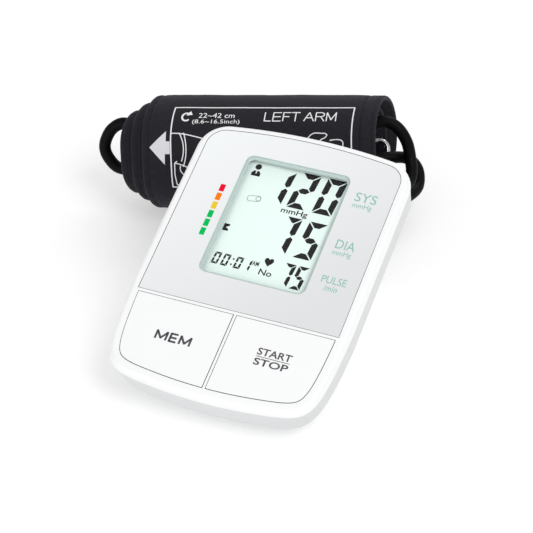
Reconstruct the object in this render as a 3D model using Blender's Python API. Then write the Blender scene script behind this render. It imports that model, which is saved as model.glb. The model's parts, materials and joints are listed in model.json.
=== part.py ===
"""Upper arm blood pressure monitor: a tilted desk console with its rolled cuff, air hose and plug.

Blender 4.5, metres, +Z up, resting on z = 0. The console's user faces +Y, and its right is +X.
Console pieces are drawn in the frame of the sloping display face, whose centre is the origin
and whose outward normal is +Z. Cuff pieces are drawn in the roll's frame, with +X along its axis.
"""

from math import atan2, cos, pi, radians, sin, sqrt

import bmesh
import bpy
from mathutils import Matrix, Vector
from mathutils.geometry import interpolate_bezier

MM = 0.001

# Console
TILT = radians(23)
FACE_HEIGHT = 48.1  # centre of the display face above the table
ASSEMBLY_SHIFT = (35.52, -49.40, 0.0)  # puts the origin under the middle of the whole object
HALF_WIDTH = 53.2
REAR, FRONT = 71.8, -73.4
REAR_CORNER, REAR_BOW = 15.0, 290.0
NOSE_SIDE, NOSE_BELLY = -24.0, 26.0  # y where the sides start to close in, x where the front bow ends
NOSE_BELLY_RISE, NOSE_BELLY_SLOPE = 1.5, 0.11
NOSE_PULL_SIDE, NOSE_PULL_FRONT = 44.0, 25.0  # how hard the corner curve leans on its two ends
WALL = 2.4
PARTING = -4.0
LIP_WIDTH, CEILING = 2.8, -3.6
CASE_GAP = 0.3
BAND_BOTTOM = -16.4
BAND_SOFTNESS = 0.1  # how much rounder the front corners are below the band

# Display
PANEL_HALF, PANEL_REAR, PANEL_FRONT, PANEL_CORNER = 48.4, 67.8, -27.9, 9.1
PANEL_BOW = 285.0
POCKET_FLOOR = -2.0
WINDOW_HALF, WINDOW_FRONT, WINDOW_REAR, WINDOW_CORNER = 26.0, -12.2, 54.4, 3.9
LENS_MARGIN = 1.2

# Buttons
KEY_REAR, KEY_INSET = -29.9, 5.4
KEY_INNER = 0.9
KEY_CENTRE = (24.0, -48.0)
KEY_CLEARANCE = 0.3
KEY_FLANGE = 1.0
SNAP_X = 48.6

# Board
BOARD_TOP, BOARD_THICKNESS = -10.0, 1.6
BOARD_HALF, BOARD_FRONT, BOARD_REAR = 40.0, -64.0, 60.0
BOSS_PLACES = ((37.5, -22.0), (37.5, 52.0))
BOSS_RADIUS, BOSS_SPLIT = 3.4, -13.0

# Under-body, in console upright coordinates: z is height above the table
BASE_Z = 1.0
BASE_HALF, BASE_REAR_HALF, BASE_FRONT, BASE_REAR = 46.5, 37.5, -49.0, 60.0
BASE_EDGE = 1.8

# Battery bay, in console upright coordinates
CELL_RADIUS, CELL_LENGTH, CELL_PITCH, CELL_HEIGHT = 7.2, 49.5, 15.2, 10.7
BAY_HALF, BAY_FRONT, BAY_REAR, BAY_TOP, BAY_ROOF = 29.4, -13.8, 47.6, 18.4, 1.6
COVER_HALF, COVER_FRONT, COVER_REAR, COVER_THICKNESS = 31.6, -16.2, 50.0, 1.8
COVER_GAP = 0.35
TONGUE_PLACES, TONGUE_HALF = (-18.0, 18.0), 4.0

# Air circuit, in console upright coordinates
PUMP_Y, PUMP_Z = 36.0, 35.2
MOTOR_LEFT, MOTOR_RIGHT, MOTOR_RADIUS = -30.0, 0.0, 12.2
HEAD_RIGHT, HEAD_RADIUS = 19.0, 13.2
SOCKET_Z, AIR_JACK_X, DC_SOCKET_X = 30.0, 20.0, -20.0
SOCKET_FACE = 66.5

# Rolled cuff
CUFF_CENTRE = (-49.2, 111.4, 30.36)
CUFF_TURN = radians(22.4)
CUFF_LEFT, CUFF_RIGHT = -53.8, 62.7  # edges of the strip at its free end
CUFF_RADIUS, CUFF_THICKNESS = 30.5, 3.0
CUFF_PITCH, CUFF_DRIFT = 3.8, 5.6  # how far in and how far left the strip moves each turn
LEAN, LEAN_FROM, LEAN_SPAN = 17.0, radians(144), radians(330)  # the layers lean over the top
CUFF_START = radians(-75)  # where the free end of the roll lies, measured from the rear
STEPS_PER_TURN = 30
CUFF_STEPS, POCKET_STEPS, BLADDER_STEPS, PATCH_STEPS = (0, 84), (3, 52), (4, 51), (0, 5)
POCKET_THICKNESS, BLADDER_THICKNESS = 2.0, 1.2
BLADDER_MARGIN = 9.0
SLEEVE, SLEEVE_ENDS = (15.9, -3.8), (-50.0, 60.5)
RING_BAR, RING_ENDS, RING_CORNER, RING_WIRE = (5.0, -13.3), (-58.0, 69.0), 5.0, 1.6
PORT_X, PORT_ANGLE = 47.0, radians(200)

# Hose
HOSE_RADIUS, HOSE_BORE = 3.05, 1.9
PLUG_END = 90.0  # console y where the plug's grip ends


# ---------------------------------------------------------------- scene helpers


def clear_scene():
    for obj in list(bpy.data.objects):
        bpy.data.objects.remove(obj, do_unlink=True)


def empty(name, location, rotation=(0, 0, 0), parent=None):
    """A frame to draw pieces in. Location is in millimetres."""
    obj = bpy.data.objects.new(name, None)
    obj.location = [value * MM for value in location]
    obj.rotation_euler = rotation
    obj.parent = parent
    bpy.context.scene.collection.objects.link(obj)
    return obj


def material(name, colour, roughness, metallic=0.0, alpha=1.0):
    found = bpy.data.materials.get(name)
    if found:
        return found
    made = bpy.data.materials.new(name)
    made.use_nodes = True
    made.diffuse_color = (*colour, alpha)
    shader = made.node_tree.nodes["Principled BSDF"]
    shader.inputs["Base Color"].default_value = (*colour, 1.0)
    shader.inputs["Roughness"].default_value = roughness
    shader.inputs["Metallic"].default_value = metallic
    shader.inputs["Alpha"].default_value = alpha
    return made


def white_plastic():
    return material("white_plastic", (0.86, 0.87, 0.88), 0.32)


def grey_plastic():
    return material("grey_plastic", (0.72, 0.74, 0.75), 0.38)


def panel_plastic():
    return material("panel_plastic", (0.78, 0.80, 0.82), 0.35)


def clear_plastic():
    return material("clear_plastic", (0.92, 0.96, 0.95), 0.05, alpha=0.3)


def lcd():
    return material("lcd", (0.76, 0.90, 0.87), 0.15)


def black_plastic():
    return material("black_plastic", (0.03, 0.03, 0.035), 0.45)


def board_green():
    return material("board_green", (0.03, 0.22, 0.10), 0.45)


def steel():
    return material("steel", (0.62, 0.62, 0.63), 0.3, 1.0)


def rubber():
    return material("rubber", (0.02, 0.02, 0.022), 0.7)


def silicone():
    return material("silicone", (0.80, 0.80, 0.78), 0.5)


def hose_black():
    return material("hose_black", (0.012, 0.012, 0.014), 0.3)


def fabric():
    return material("cuff_fabric", (0.022, 0.021, 0.030), 0.85)


def cell_wrap():
    return material("cell_wrap", (0.10, 0.12, 0.16), 0.35, 0.3)


def finish(name, bm, surface, parent=None):
    """Turns a bmesh drawn in millimetres into an object of its own."""
    bmesh.ops.recalc_face_normals(bm, faces=bm.faces)
    bmesh.ops.scale(bm, vec=(MM, MM, MM), verts=bm.verts)
    mesh = bpy.data.meshes.new(name)
    bm.to_mesh(mesh)
    bm.free()
    mesh.materials.append(surface)
    obj = bpy.data.objects.new(name, mesh)
    obj.parent = parent
    bpy.context.scene.collection.objects.link(obj)
    return obj


def tool(name, bm, parent):
    """A hidden solid that a Boolean uses."""
    obj = finish(name, bm, black_plastic(), parent)
    obj.hide_render = True
    obj.display_type = "WIRE"
    return obj


def boolean(target, other, operation):
    modifier = target.modifiers.new(other.name, "BOOLEAN")
    modifier.object = other
    modifier.operation = operation
    modifier.solver = "EXACT"


def cut(target, name, bm):
    boolean(target, tool(f"{name}_cutter", bm, target.parent), "DIFFERENCE")


def add(target, name, bm):
    boolean(target, tool(f"{name}_tool", bm, target.parent), "UNION")


# ---------------------------------------------------------------- shape helpers


def box(low, high, edge=0.0):
    """A box between two corners, with its edges chamfered where edge is given."""
    bm = bmesh.new()
    bmesh.ops.create_cube(bm, size=1.0)
    size = Vector(high) - Vector(low)
    bmesh.ops.scale(bm, vec=size, verts=bm.verts)
    bmesh.ops.translate(bm, vec=(Vector(high) + Vector(low)) / 2, verts=bm.verts)
    if edge:
        bmesh.ops.bevel(bm, geom=bm.edges, offset=edge, segments=1, affect="EDGES")
    return bm


def upright(bm):
    """Moves a shape from console upright coordinates into the face's frame."""
    frame = Matrix.Translation((0, 0, FACE_HEIGHT)) @ Matrix.Rotation(TILT, 4, "X")
    bmesh.ops.transform(bm, matrix=frame.inverted(), verts=bm.verts)
    return bm


def loft(rings, closed_ends=True):
    """A skin through rings of equal point count; the first and last are capped."""
    bm = bmesh.new()
    rows = [[bm.verts.new(point) for point in ring] for ring in rings]
    for lower, upper in zip(rows, rows[1:]):
        for i in range(len(lower)):
            j = (i + 1) % len(lower)
            bm.faces.new((lower[i], lower[j], upper[j], upper[i]))
    if closed_ends:
        bm.faces.new(rows[0])
        bm.faces.new(reversed(rows[-1]))
    else:
        for i in range(len(rows[0])):
            j = (i + 1) % len(rows[0])
            bm.faces.new((rows[-1][i], rows[-1][j], rows[0][j], rows[0][i]))
    return bm


def revolve(profile, steps=20):
    """A solid of revolution about Z from (radius, height) points, which start and end on the axis
    or, for a tube, form a closed loop away from it."""
    on_axis = profile[0][0] == 0
    inner = profile[1:-1] if on_axis else profile
    rings = []
    for radius, height in inner:
        angles = [2 * pi * k / steps for k in range(steps)]
        rings.append([(radius * cos(a), radius * sin(a), height) for a in angles])
    return loft(rings, closed_ends=on_axis)


def rod(radius, start, end, steps=16):
    """A plain round bar between two points."""
    start, end = Vector(start), Vector(end)
    length = (end - start).length
    bm = revolve([(0, 0), (radius, 0), (radius, length), (0, length)], steps)
    turn = (end - start).to_track_quat("Z", "Y").to_matrix().to_4x4()
    bmesh.ops.transform(bm, matrix=Matrix.Translation(start) @ turn, verts=bm.verts)
    return bm


def placed(bm, start, direction):
    """Stands a shape drawn about +Z on a point, looking along a direction."""
    turn = Vector(direction).to_track_quat("Z", "Y").to_matrix().to_4x4()
    bmesh.ops.transform(bm, matrix=Matrix.Translation(start) @ turn, verts=bm.verts)
    return bm


def arc(centre, radius, first, last, steps):
    """Points on an arc, angles in radians, both ends included."""
    angles = [first + (last - first) * k / steps for k in range(steps + 1)]
    return [(centre[0] + radius * cos(a), centre[1] + radius * sin(a)) for a in angles]


def bowed_side(half, end, corner, bow, steps):
    """The right half of one end of an outline that ends at +Y: the corner arc, then the bow."""
    bow_centre = end - bow
    corner_x = half - corner
    corner_y = bow_centre + sqrt((bow - corner) ** 2 - corner_x**2)
    meet = atan2(corner_y - bow_centre, corner_x)
    corner_points = arc((corner_x, corner_y), corner, 0, meet, steps)
    bow_points = arc((0, bow_centre), bow, meet, pi / 2, 3)
    return corner_points + bow_points[1:]


def nose_side(steps, softness):
    """The right half of the front edge, from its middle to where the sides run straight."""
    belly = [(NOSE_BELLY * k / 3, FRONT + NOSE_BELLY_RISE * (k / 3) ** 2) for k in range(3)]
    low = Vector((NOSE_BELLY, FRONT + NOSE_BELLY_RISE))
    high = Vector((HALF_WIDTH, NOSE_SIDE))
    pull_low = low + Vector((1, NOSE_BELLY_SLOPE)) * NOSE_PULL_FRONT * (1 - softness)
    pull_high = high - Vector((0.05, 1)) * NOSE_PULL_SIDE * (1 - softness)
    ends = [point.to_3d() for point in (low, pull_low, pull_high, high)]
    corner = interpolate_bezier(*ends, steps)
    return belly + [(point.x, point.y) for point in corner]


def moved_in(points, inset):
    """A closed anticlockwise outline, each corner moved inwards square to the line there."""
    moved = []
    for before, point, after in zip(points[-1:] + points, points, points[1:] + points[:1]):
        along = (Vector(after) - Vector(before)).normalized()
        moved.append((point[0] - along.y * inset, point[1] + along.x * inset))
    return moved


def outline(inset=0.0, softness=0.0):
    """The console's plan outline, anticlockwise from the front, moved in from its widest line."""
    right = nose_side(12, softness) + bowed_side(HALF_WIDTH, REAR, REAR_CORNER, REAR_BOW, 6)
    left = [(-x, y) for x, y in reversed(right[1:-1])]
    return moved_in(right + left, inset)


def at(points, z):
    return [(x, y, z) for x, y in points]


def rounded_rectangle(left, right, front, rear, corner, steps=4):
    """An outline with four equal rounded corners, anticlockwise."""
    points = []
    corners = (
        (right - corner, front + corner, -pi / 2),
        (right - corner, rear - corner, 0),
        (left + corner, rear - corner, pi / 2),
        (left + corner, front + corner, pi),
    )
    for x, y, first in corners:
        points += arc((x, y), corner, first, first + pi / 2, steps)
    return points


def slab(left, right, front, rear, low, high, corner, steps=4):
    """A flat plate with rounded corners."""
    ring = rounded_rectangle(left, right, front, rear, corner, steps)
    return loft([at(ring, low), at(ring, high)])


def smooth_path(points, per_span):
    """Catmull-Rom points through the given ones."""
    knots = [Vector(point) for point in points]
    knots = [2 * knots[0] - knots[1], *knots, 2 * knots[-1] - knots[-2]]
    path = []
    for a, b, c, d in zip(knots, knots[1:], knots[2:], knots[3:]):
        for k in range(per_span):
            t = k / per_span
            bend = (2 * a - 5 * b + 4 * c - d) * t**2 + (3 * b - a - 3 * c + d) * t**3
            path.append(0.5 * (2 * b + (c - a) * t + bend))
    path.append(knots[-2])
    return path


def ring_rows(path, radius, steps):
    """Circles along a path, each turned only as much as the path bends."""
    rows = []
    side = None
    for i, point in enumerate(path):
        ahead = (path[min(i + 1, len(path) - 1)] - path[max(i - 1, 0)]).normalized()
        if side is None:
            side = ahead.orthogonal().normalized()
        side = (side - ahead * side.dot(ahead)).normalized()
        other = ahead.cross(side)
        angles = [2 * pi * k / steps for k in range(steps)]
        rows.append([point + radius * (side * cos(a) + other * sin(a)) for a in angles])
    return rows


def pipe(path, radius, bore=0.0, steps=10):
    """A round bar, or a tube where bore is given, along a path."""
    outer = ring_rows(path, radius, steps)
    if not bore:
        return loft(outer)
    return loft(outer + ring_rows(path, bore, steps)[::-1], closed_ends=False)


# ---------------------------------------------------------------- console shells


def panel_outline(inset=0.0, steps=5):
    half, corner, bow = PANEL_HALF - inset, PANEL_CORNER - inset, PANEL_BOW - inset
    back = bowed_side(half, PANEL_REAR - inset, corner, bow, steps)
    front = PANEL_FRONT + inset
    right = [(half, front), *back]
    return right + [(-x, y) for x, y in reversed(right[:-1])]


def key_outline(side, grow=0.0, inner_grow=None):
    """A button's plan outline. Side is +1 for the right-hand button and -1 for the left."""
    inner = KEY_INNER - (grow if inner_grow is None else inner_grow)
    rear = KEY_REAR + grow
    edge = moved_in(outline(), KEY_INSET - grow)
    curve = [(x, y) for x, y in edge[: len(edge) // 2] if x > 4 and y < rear - 1]
    points = [(inner, edge[0][1]), *curve, (curve[-1][0] + 0.1, rear), (inner, rear)]
    return [(side * x, y) for x, y in points[:: int(side)]]


def lip_rings():
    """The rounded edge of the upper case, from the parting line up to the flat lip."""
    rings = []
    for k in range(6):
        angle = pi / 2 * k / 5
        rings.append(at(outline(LIP_WIDTH * (1 - cos(angle))), PARTING * (1 - sin(angle))))
    return rings


def build_upper_case(frame):
    case = finish("upper_case", loft(lip_rings()), white_plastic(), frame)
    inner = outline(WALL)
    cut(case, "upper_cavity", loft([at(inner, PARTING - 1), at(inner, CEILING)]))
    pocket = panel_outline(-0.25)
    cut(case, "panel_pocket", loft([at(pocket, POCKET_FLOOR), at(pocket, 1)]))
    lens = 0.35
    cut(case, "window_opening", window_block(LENS_MARGIN + lens, -5, 1, WINDOW_CORNER + 1))
    for side, name in ((-1, "mem"), (1, "start")):
        ring = key_outline(side, KEY_CLEARANCE)
        cut(case, f"{name}_opening", loft([at(ring, -5), at(ring, 1)]))
    for x, y in screw_places():
        name = f"upper_boss_{x:.0f}_{y:.0f}"
        add(case, name, rod(BOSS_RADIUS, (x, y, BOSS_SPLIT), (x, y, CEILING + 0.5), 14))
        cut(case, f"{name}_pilot", rod(1.1, (x, y, BOSS_SPLIT - 1), (x, y, -5), 10))
    for side in (-1, 1):
        edges = sorted((side * SNAP_X, side * (SNAP_X + 1.2)))
        add(case, f"snap_tab_{side}", box((edges[0], 5, -9), (edges[1], 11, CEILING + 0.4)))
    return case


def screw_places():
    return [(side * x, y) for x, y in BOSS_PLACES for side in (-1, 1)]


def window_block(margin, low, high, corner):
    return slab(
        -WINDOW_HALF - margin,
        WINDOW_HALF + margin,
        WINDOW_FRONT - margin,
        WINDOW_REAR + margin,
        low,
        high,
        corner,
    )


def base_ring(inset, z):
    """The under-body's outline at a height above the table, in the face's frame."""
    frame = Matrix.Translation((0, 0, FACE_HEIGHT)) @ Matrix.Rotation(TILT, 4, "X")
    back = frame.inverted()
    stretch = (BASE_REAR - BASE_FRONT) / (REAR - FRONT)
    ring = []
    for x, y in outline(0, BAND_SOFTNESS):
        along = (y - FRONT) * stretch
        share = along / (BASE_REAR - BASE_FRONT)
        half = BASE_HALF + (BASE_REAR_HALF - BASE_HALF) * share
        ring.append((x * half / HALF_WIDTH, BASE_FRONT + along))
    return [back @ Vector((x, y, z)) for x, y in moved_in(ring, inset)]


def tub_rings(wall=0.0):
    """Rings of the lower case from its rim down to its base, or those of its inside."""
    rings = [at(outline(0.25 + wall), PARTING + 1 if wall else PARTING - CASE_GAP)]
    for inset, z in ((0.9, BAND_BOTTOM), (1.9, -18.3), (4.0, -20.2), (6.6, -21.4)):
        rings.append(at(outline(inset + wall, BAND_SOFTNESS), z + (wall / 2 if z < BAND_BOTTOM else 0)))
    rings.append(base_ring(wall, BASE_Z + BASE_EDGE + wall))
    rings.append(base_ring(BASE_EDGE + wall, BASE_Z + wall))
    return rings


def tub_cavity(frame):
    """The space inside the lower case, left solid where posts, bay walls and bosses stand."""
    cavity = tool("tub_cavity_cutter", loft(tub_rings(WALL)), frame)
    low = (-BAY_HALF - 3.8, BAY_FRONT - 8.0, -5)
    high = (BAY_HALF + 3.8, BAY_REAR + 4.2, BAY_TOP + BAY_ROOF)
    cut(cavity, "bay_walls", upright(box(low, high)))
    for x in (AIR_JACK_X, DC_SOCKET_X):
        inner = upright(rod(7.0, (x, SOCKET_FACE - 6.0, SOCKET_Z), (x, SOCKET_FACE + 9, SOCKET_Z), 20))
        cut(cavity, f"inner_boss_{x:.0f}", inner)
    for x, y in screw_places():
        post = rod(BOSS_RADIUS + 0.6, (x, y, -90), (x, y, BOSS_SPLIT - 0.3), 16)
        cut(cavity, f"post_{x:.0f}_{y:.0f}", post)
    return cavity


def build_lower_case(frame):
    case = finish("lower_case", loft(tub_rings()), grey_plastic(), frame)
    boolean(case, tub_cavity(frame), "DIFFERENCE")
    for x in (AIR_JACK_X, DC_SOCKET_X):
        boss = upright(rod(7.0, (x, SOCKET_FACE - 4.5, SOCKET_Z), (x, SOCKET_FACE, SOCKET_Z), 20))
        add(case, f"socket_boss_{x:.0f}", boss)
    for x, y in screw_places():
        name = f"screw_way_{x:.0f}_{y:.0f}"
        cut(case, f"{name}_shank", rod(1.5, (x, y, -90), (x, y, BOSS_SPLIT + 1), 12))
        cut(case, f"{name}_head", rod(2.9, (x, y, -90), (x, y, BOSS_SPLIT - 3.5), 14))
    cell_low, cell_high = (-BAY_HALF, BAY_FRONT, 0), (BAY_HALF, BAY_REAR, BAY_TOP)
    cut(case, "bay", upright(box(cell_low, cell_high)))
    cover_low = (-COVER_HALF - COVER_GAP, COVER_FRONT - COVER_GAP, 0)
    cover_high = (COVER_HALF + COVER_GAP, COVER_REAR + COVER_GAP, BASE_Z + COVER_THICKNESS + COVER_GAP)
    cut(case, "cover_recess", upright(box(cover_low, cover_high)))
    for x in TONGUE_PLACES:
        reach = TONGUE_HALF + 0.4
        slot = box((x - reach, COVER_FRONT - 3.2, 1.9), (x + reach, BAY_FRONT + 0.5, 6.6))
        cut(case, f"tongue_slot_{x:.0f}", upright(slot))
    for x, radius in ((AIR_JACK_X, 4.8), (DC_SOCKET_X, 4.1)):
        cut(case, f"socket_hole_{x:.0f}", upright(rod(radius, (x, 50, SOCKET_Z), (x, 70, SOCKET_Z), 20)))
    return case


# ---------------------------------------------------------------- display


def build_display_panel(frame):
    ring = panel_outline()
    chamfered = panel_outline(0.25)
    body = loft([at(ring, -1.75), at(ring, -0.35), at(chamfered, -0.1)])
    panel = finish("display_panel", body, panel_plastic(), frame)
    bevel = [
        at(rounded_rectangle(*window_sides(-1.5), WINDOW_CORNER - 1.5), -2.5),
        at(rounded_rectangle(*window_sides(-1.5), WINDOW_CORNER - 1.5), -1.6),
        at(rounded_rectangle(*window_sides(0.0), WINDOW_CORNER), -0.1),
        at(rounded_rectangle(*window_sides(0.0), WINDOW_CORNER), 1.0),
    ]
    cut(panel, "panel_window", loft(bevel))
    return panel


def window_sides(grow):
    return (-WINDOW_HALF - grow, WINDOW_HALF + grow, WINDOW_FRONT - grow, WINDOW_REAR + grow)


def build_display(frame):
    lens = window_block(LENS_MARGIN, -3.1, -1.95, WINDOW_CORNER + 0.6)
    finish("display_window", lens, clear_plastic(), frame)
    finish("lcd_glass", box((-28.0, -14.4, -6.6), (28.0, 56.6, -3.9), 0.25), lcd(), frame)
    holder = finish("lcd_frame", box((-30.4, -16.6, -9.7), (30.4, 58.8, -4.2), 0.4), black_plastic(), frame)
    cut(holder, "lcd_seat", box((-28.3, -14.7, -6.9), (28.3, 56.9, 0)))
    cut(holder, "lcd_well", box((-26.0, -8.0, -12), (26.0, 54.0, 0)))
    finish("lcd_connector", box((-24.0, -7.0, -9.6), (24.0, -4.6, -6.9), 0.2), rubber(), frame)


# ---------------------------------------------------------------- buttons


def key_centre(side):
    return side * KEY_CENTRE[0], KEY_CENTRE[1]


def build_button(name, side, frame):
    """A hollow cap with a retaining flange and a stem over its switch."""
    x, y = key_centre(side)
    axis = empty(f"{name}_axis", (x, y, 0), parent=frame)
    flange = key_outline(side, KEY_FLANGE, 0.45)
    rings = [
        at(flange, -5.1),
        at(flange, CEILING - CASE_GAP),
        at(key_outline(side), CEILING - CASE_GAP),
        at(key_outline(side), -0.3),
        at(key_outline(side, -0.5), 0.25),
    ]
    rings = [[(px - x, py - y, pz) for px, py, pz in ring] for ring in rings]
    cap = finish(name, loft(rings), white_plastic(), axis)
    hollow = [(px - x, py - y) for px, py in key_outline(side, -2.2)]
    cut(cap, f"{name}_hollow", loft([at(hollow, -6), at(hollow, -1.9)]))
    add(cap, f"{name}_stem", rod(2.6, (0, 0, -7.6), (0, 0, -1.5), 14))
    return cap


def build_switch(name, side, frame):
    x, y = key_centre(side)
    body = box((x - 3, y - 3, BOARD_TOP + 0.15), (x + 3, y + 3, -8.9), 0.2)
    switch = finish(name, body, black_plastic(), frame)
    add(switch, f"{name}_actuator", rod(1.6, (x, y, -9.2), (x, y, -8.5), 12))


# ---------------------------------------------------------------- board


def build_board(frame):
    low, high = BOARD_TOP - BOARD_THICKNESS, BOARD_TOP
    plate = slab(-BOARD_HALF, BOARD_HALF, BOARD_FRONT, BOARD_REAR, low, high, 6)
    board = finish("main_board", plate, board_green(), frame)
    for x, y in screw_places():
        cut(board, f"board_notch_{x:.0f}_{y:.0f}", rod(BOSS_RADIUS + 0.8, (x, y, -20), (x, y, 0), 16))
    under = low - 0.2
    sounder = [(0, 0), (6.0, 0), (6.0, -4.6), (5.4, -5.2), (0, 0)]
    finish("buzzer", placed(revolve(sounder, 18), (-27, -34, under), (0, 0, 1)), black_plastic(), frame)
    sensor = finish("pressure_sensor", box((15, 0, under - 3.6), (24, 9, under), 0.3), black_plastic(), frame)
    add(sensor, "sensor_nozzle", rod(1.4, (19.5, 4.5, under - 7.0), (19.5, 4.5, under - 3.0), 10))


# ---------------------------------------------------------------- air circuit


def build_pump(frame):
    centre = (PUMP_Y, PUMP_Z)
    can = upright(rod(MOTOR_RADIUS, (MOTOR_LEFT, *centre), (MOTOR_RIGHT, *centre), 24))
    motor = finish("pump_motor", can, steel(), frame)
    cut(motor, "motor_bore", upright(rod(1.3, (-14, *centre), (1, *centre), 12)))
    head = upright(rod(HEAD_RADIUS, (MOTOR_RIGHT + 0.4, *centre), (HEAD_RIGHT, *centre), 24))
    pump = finish("pump_head", head, black_plastic(), frame)
    cut(pump, "crank_chamber", upright(rod(9.5, (-1, *centre), (9.0, *centre), 20)))
    add(pump, "pump_nozzle", upright(rod(1.9, (HEAD_RIGHT - 1, *centre), (HEAD_RIGHT + 5, *centre), 12)))
    axis = empty("pump_shaft_axis", (0, 0, 0), parent=frame)
    crank = upright(rod(1.0, (-12.5, *centre), (7.0, *centre), 12))
    shaft = finish("pump_shaft", crank, steel(), axis)
    web = upright(rod(5.2, (2.0, PUMP_Y, PUMP_Z + 2.4), (5.0, PUMP_Y, PUMP_Z + 2.4), 18))
    add(shaft, "shaft_eccentric", web)


def build_valve(frame):
    body = upright(box((-26, 2, 21.0), (-8, 14, 33.0), 0.6))
    valve = finish("release_valve", body, black_plastic(), frame)
    cut(valve, "valve_bore", upright(rod(2.3, (-30, 8, 27), (-12, 8, 27), 14)))
    add(valve, "valve_nozzle", upright(rod(1.9, (-9, 8, 27), (-3, 8, 27), 12)))
    plunger = upright(rod(2.0, (-28.0, 8, 27), (-13.2, 8, 27), 14))
    finish("valve_plunger", plunger, steel(), frame)


def build_air_lines(frame):
    manifold = finish("air_manifold", upright(box((3, 4, 23.5), (14, 12, 30.5), 0.6)), silicone(), frame)
    add(manifold, "manifold_left", upright(rod(1.9, (-1.6, 8, 27), (4, 8, 27), 12)))
    add(manifold, "manifold_right", upright(rod(1.9, (13, 8, 27), (18, 8, 27), 12)))
    add(manifold, "manifold_rear", upright(rod(1.9, (8.5, 11, 27), (8.5, 16, 27), 12)))
    jack = [
        (3.1, 0), (5.8, 0), (5.8, 1.6), (4.5, 1.6), (4.5, 9.0), (2.4, 9.0), (2.4, 14.5), (1.2, 14.5),
        (1.2, 10.0), (3.1, 8.0),
    ]  # fmt: skip
    body = placed(revolve(jack, 20), (AIR_JACK_X, SOCKET_FACE + 1.9, SOCKET_Z), (0, -1, 0))
    finish("air_jack", upright(body), black_plastic(), frame)
    link = [
        (8.9, 18.5, 27.0), (22.0, 18.0, 24.8), (31.0, 27.0, 26.5), (29.5, 45.0, 30.0), (20.4, 49.6, 30.0),
        (20.0, 51.4, 30.0),
    ]  # fmt: skip
    finish("jack_tube", upright(pipe(smooth_path(link, 4), 1.8, steps=8)), silicone(), frame)
    feed = [
        (24.6, PUMP_Y, PUMP_Z), (26.6, PUMP_Y, PUMP_Z), (30.0, 32.0, 33.0), (28.0, 20.0, 30.0),
        (24.0, 10.0, 27.6), (18.6, 8.0, 27.0),
    ]  # fmt: skip
    finish("pump_tube", upright(pipe(smooth_path(feed, 4), 1.8, steps=8)), silicone(), frame)


def build_dc_socket(frame):
    socket = [(2.6, 0), (3.8, 0), (3.8, 2.0), (3.8, 13.0), (0.9, 13.0), (0.9, 11.0), (2.6, 11.0)]
    body = placed(revolve(socket, 18), (DC_SOCKET_X, SOCKET_FACE - 0.4, SOCKET_Z), (0, -1, 0))
    finish("dc_socket", upright(body), black_plastic(), frame)


# ---------------------------------------------------------------- batteries


def cell_places():
    """(number, y, pole): y of each cell, and +1 where its plus end is at the right."""
    middle = (BAY_FRONT + BAY_REAR) / 2
    return [(k + 1, middle + (k - 1.5) * CELL_PITCH, 1 if k % 2 == 0 else -1) for k in range(4)]


def build_batteries(frame):
    for number, y, pole in cell_places():
        left = -CELL_LENGTH / 2 + pole * 2.0
        ends = (left, left + CELL_LENGTH) if pole > 0 else (left + CELL_LENGTH, left)
        cell = [
            (0, 0), (CELL_RADIUS - 0.6, 0), (CELL_RADIUS, 0.6), (CELL_RADIUS, 47.6),
            (CELL_RADIUS - 0.8, 48.4), (2.7, 48.4), (2.7, CELL_LENGTH), (0, 0),
        ]  # fmt: skip
        shape = placed(revolve(cell, 16), (ends[0], y, CELL_HEIGHT), (pole, 0, 0))
        finish(f"aa_cell_{number}", upright(shape), cell_wrap(), frame)
        coil = spring_path(ends[0] - pole * 0.8, -pole * (BAY_HALF - 1.5), y)
        finish(f"battery_spring_{number}", upright(pipe(coil, 0.4, steps=6)), steel(), frame)


def spring_path(tip, seat, y):
    """A cone of wire from a cell's minus end to the contact plate."""
    turns, per_turn = 3.0, 12
    count = int(turns * per_turn)
    points = []
    for k in range(count + 1):
        share = k / count
        radius = 2.6 + 2.2 * share
        angle = 2 * pi * turns * share
        points.append(
            Vector((tip + (seat - tip) * share, y + radius * cos(angle), CELL_HEIGHT + radius * sin(angle)))
        )
    return points


def build_contacts(frame):
    """Plates at both ends of the bay that put the four cells in series."""
    rows = [y for _, y, _ in cell_places()]
    for side, groups in ((-1, ((0, 0), (1, 2), (3, 3))), (1, ((0, 1), (2, 3)))):
        face = side * (BAY_HALF - 0.35)
        inside = side * (BAY_HALF - 0.85)
        for first, last in groups:
            name = f"contact_{'left' if side < 0 else 'right'}_{first + 1}"
            low = (min(face, inside), rows[first] - 5.5, CELL_HEIGHT - 5.5)
            high = (max(face, inside), rows[last] + 5.5, CELL_HEIGHT + 5.5)
            finish(name, upright(box(low, high)), steel(), frame)


def build_battery_cover(frame):
    """Turns down about the lower front edge, where its two tongues hook in."""
    axis = empty("battery_cover_axis", (0, COVER_FRONT, BASE_Z), parent=frame)
    reach, high = COVER_REAR - COVER_FRONT, COVER_THICKNESS
    ring = rounded_rectangle(-COVER_HALF, COVER_HALF, 0, reach, 0.6, 1)
    cover = finish("battery_cover", loft([at(ring, 0), at(ring, high)]), grey_plastic(), axis)
    for x in TONGUE_PLACES:
        add(cover, f"tongue_{x:.0f}", box((x - TONGUE_HALF, -2.4, 1.1), (x + TONGUE_HALF, 1.0, 1.8)))
    for k in range(5):
        y = reach - 6 - 2.0 * k
        cut(cover, f"grip_{k}", box((-7, y - 0.4, -1), (7, y + 0.4, 0.5)))


# ---------------------------------------------------------------- feet and screws


def build_feet(frame):
    for number, (x, y) in enumerate(((-37.5, -38), (37.5, -38), (-34.6, 40), (34.6, 40)), 1):
        pad = slab(x - 2.2, x + 2.2, y - 6, y + 6, 0, BASE_Z - 0.15, 2.1)
        finish(f"rubber_foot_{number}", pad, rubber(), frame)


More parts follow.
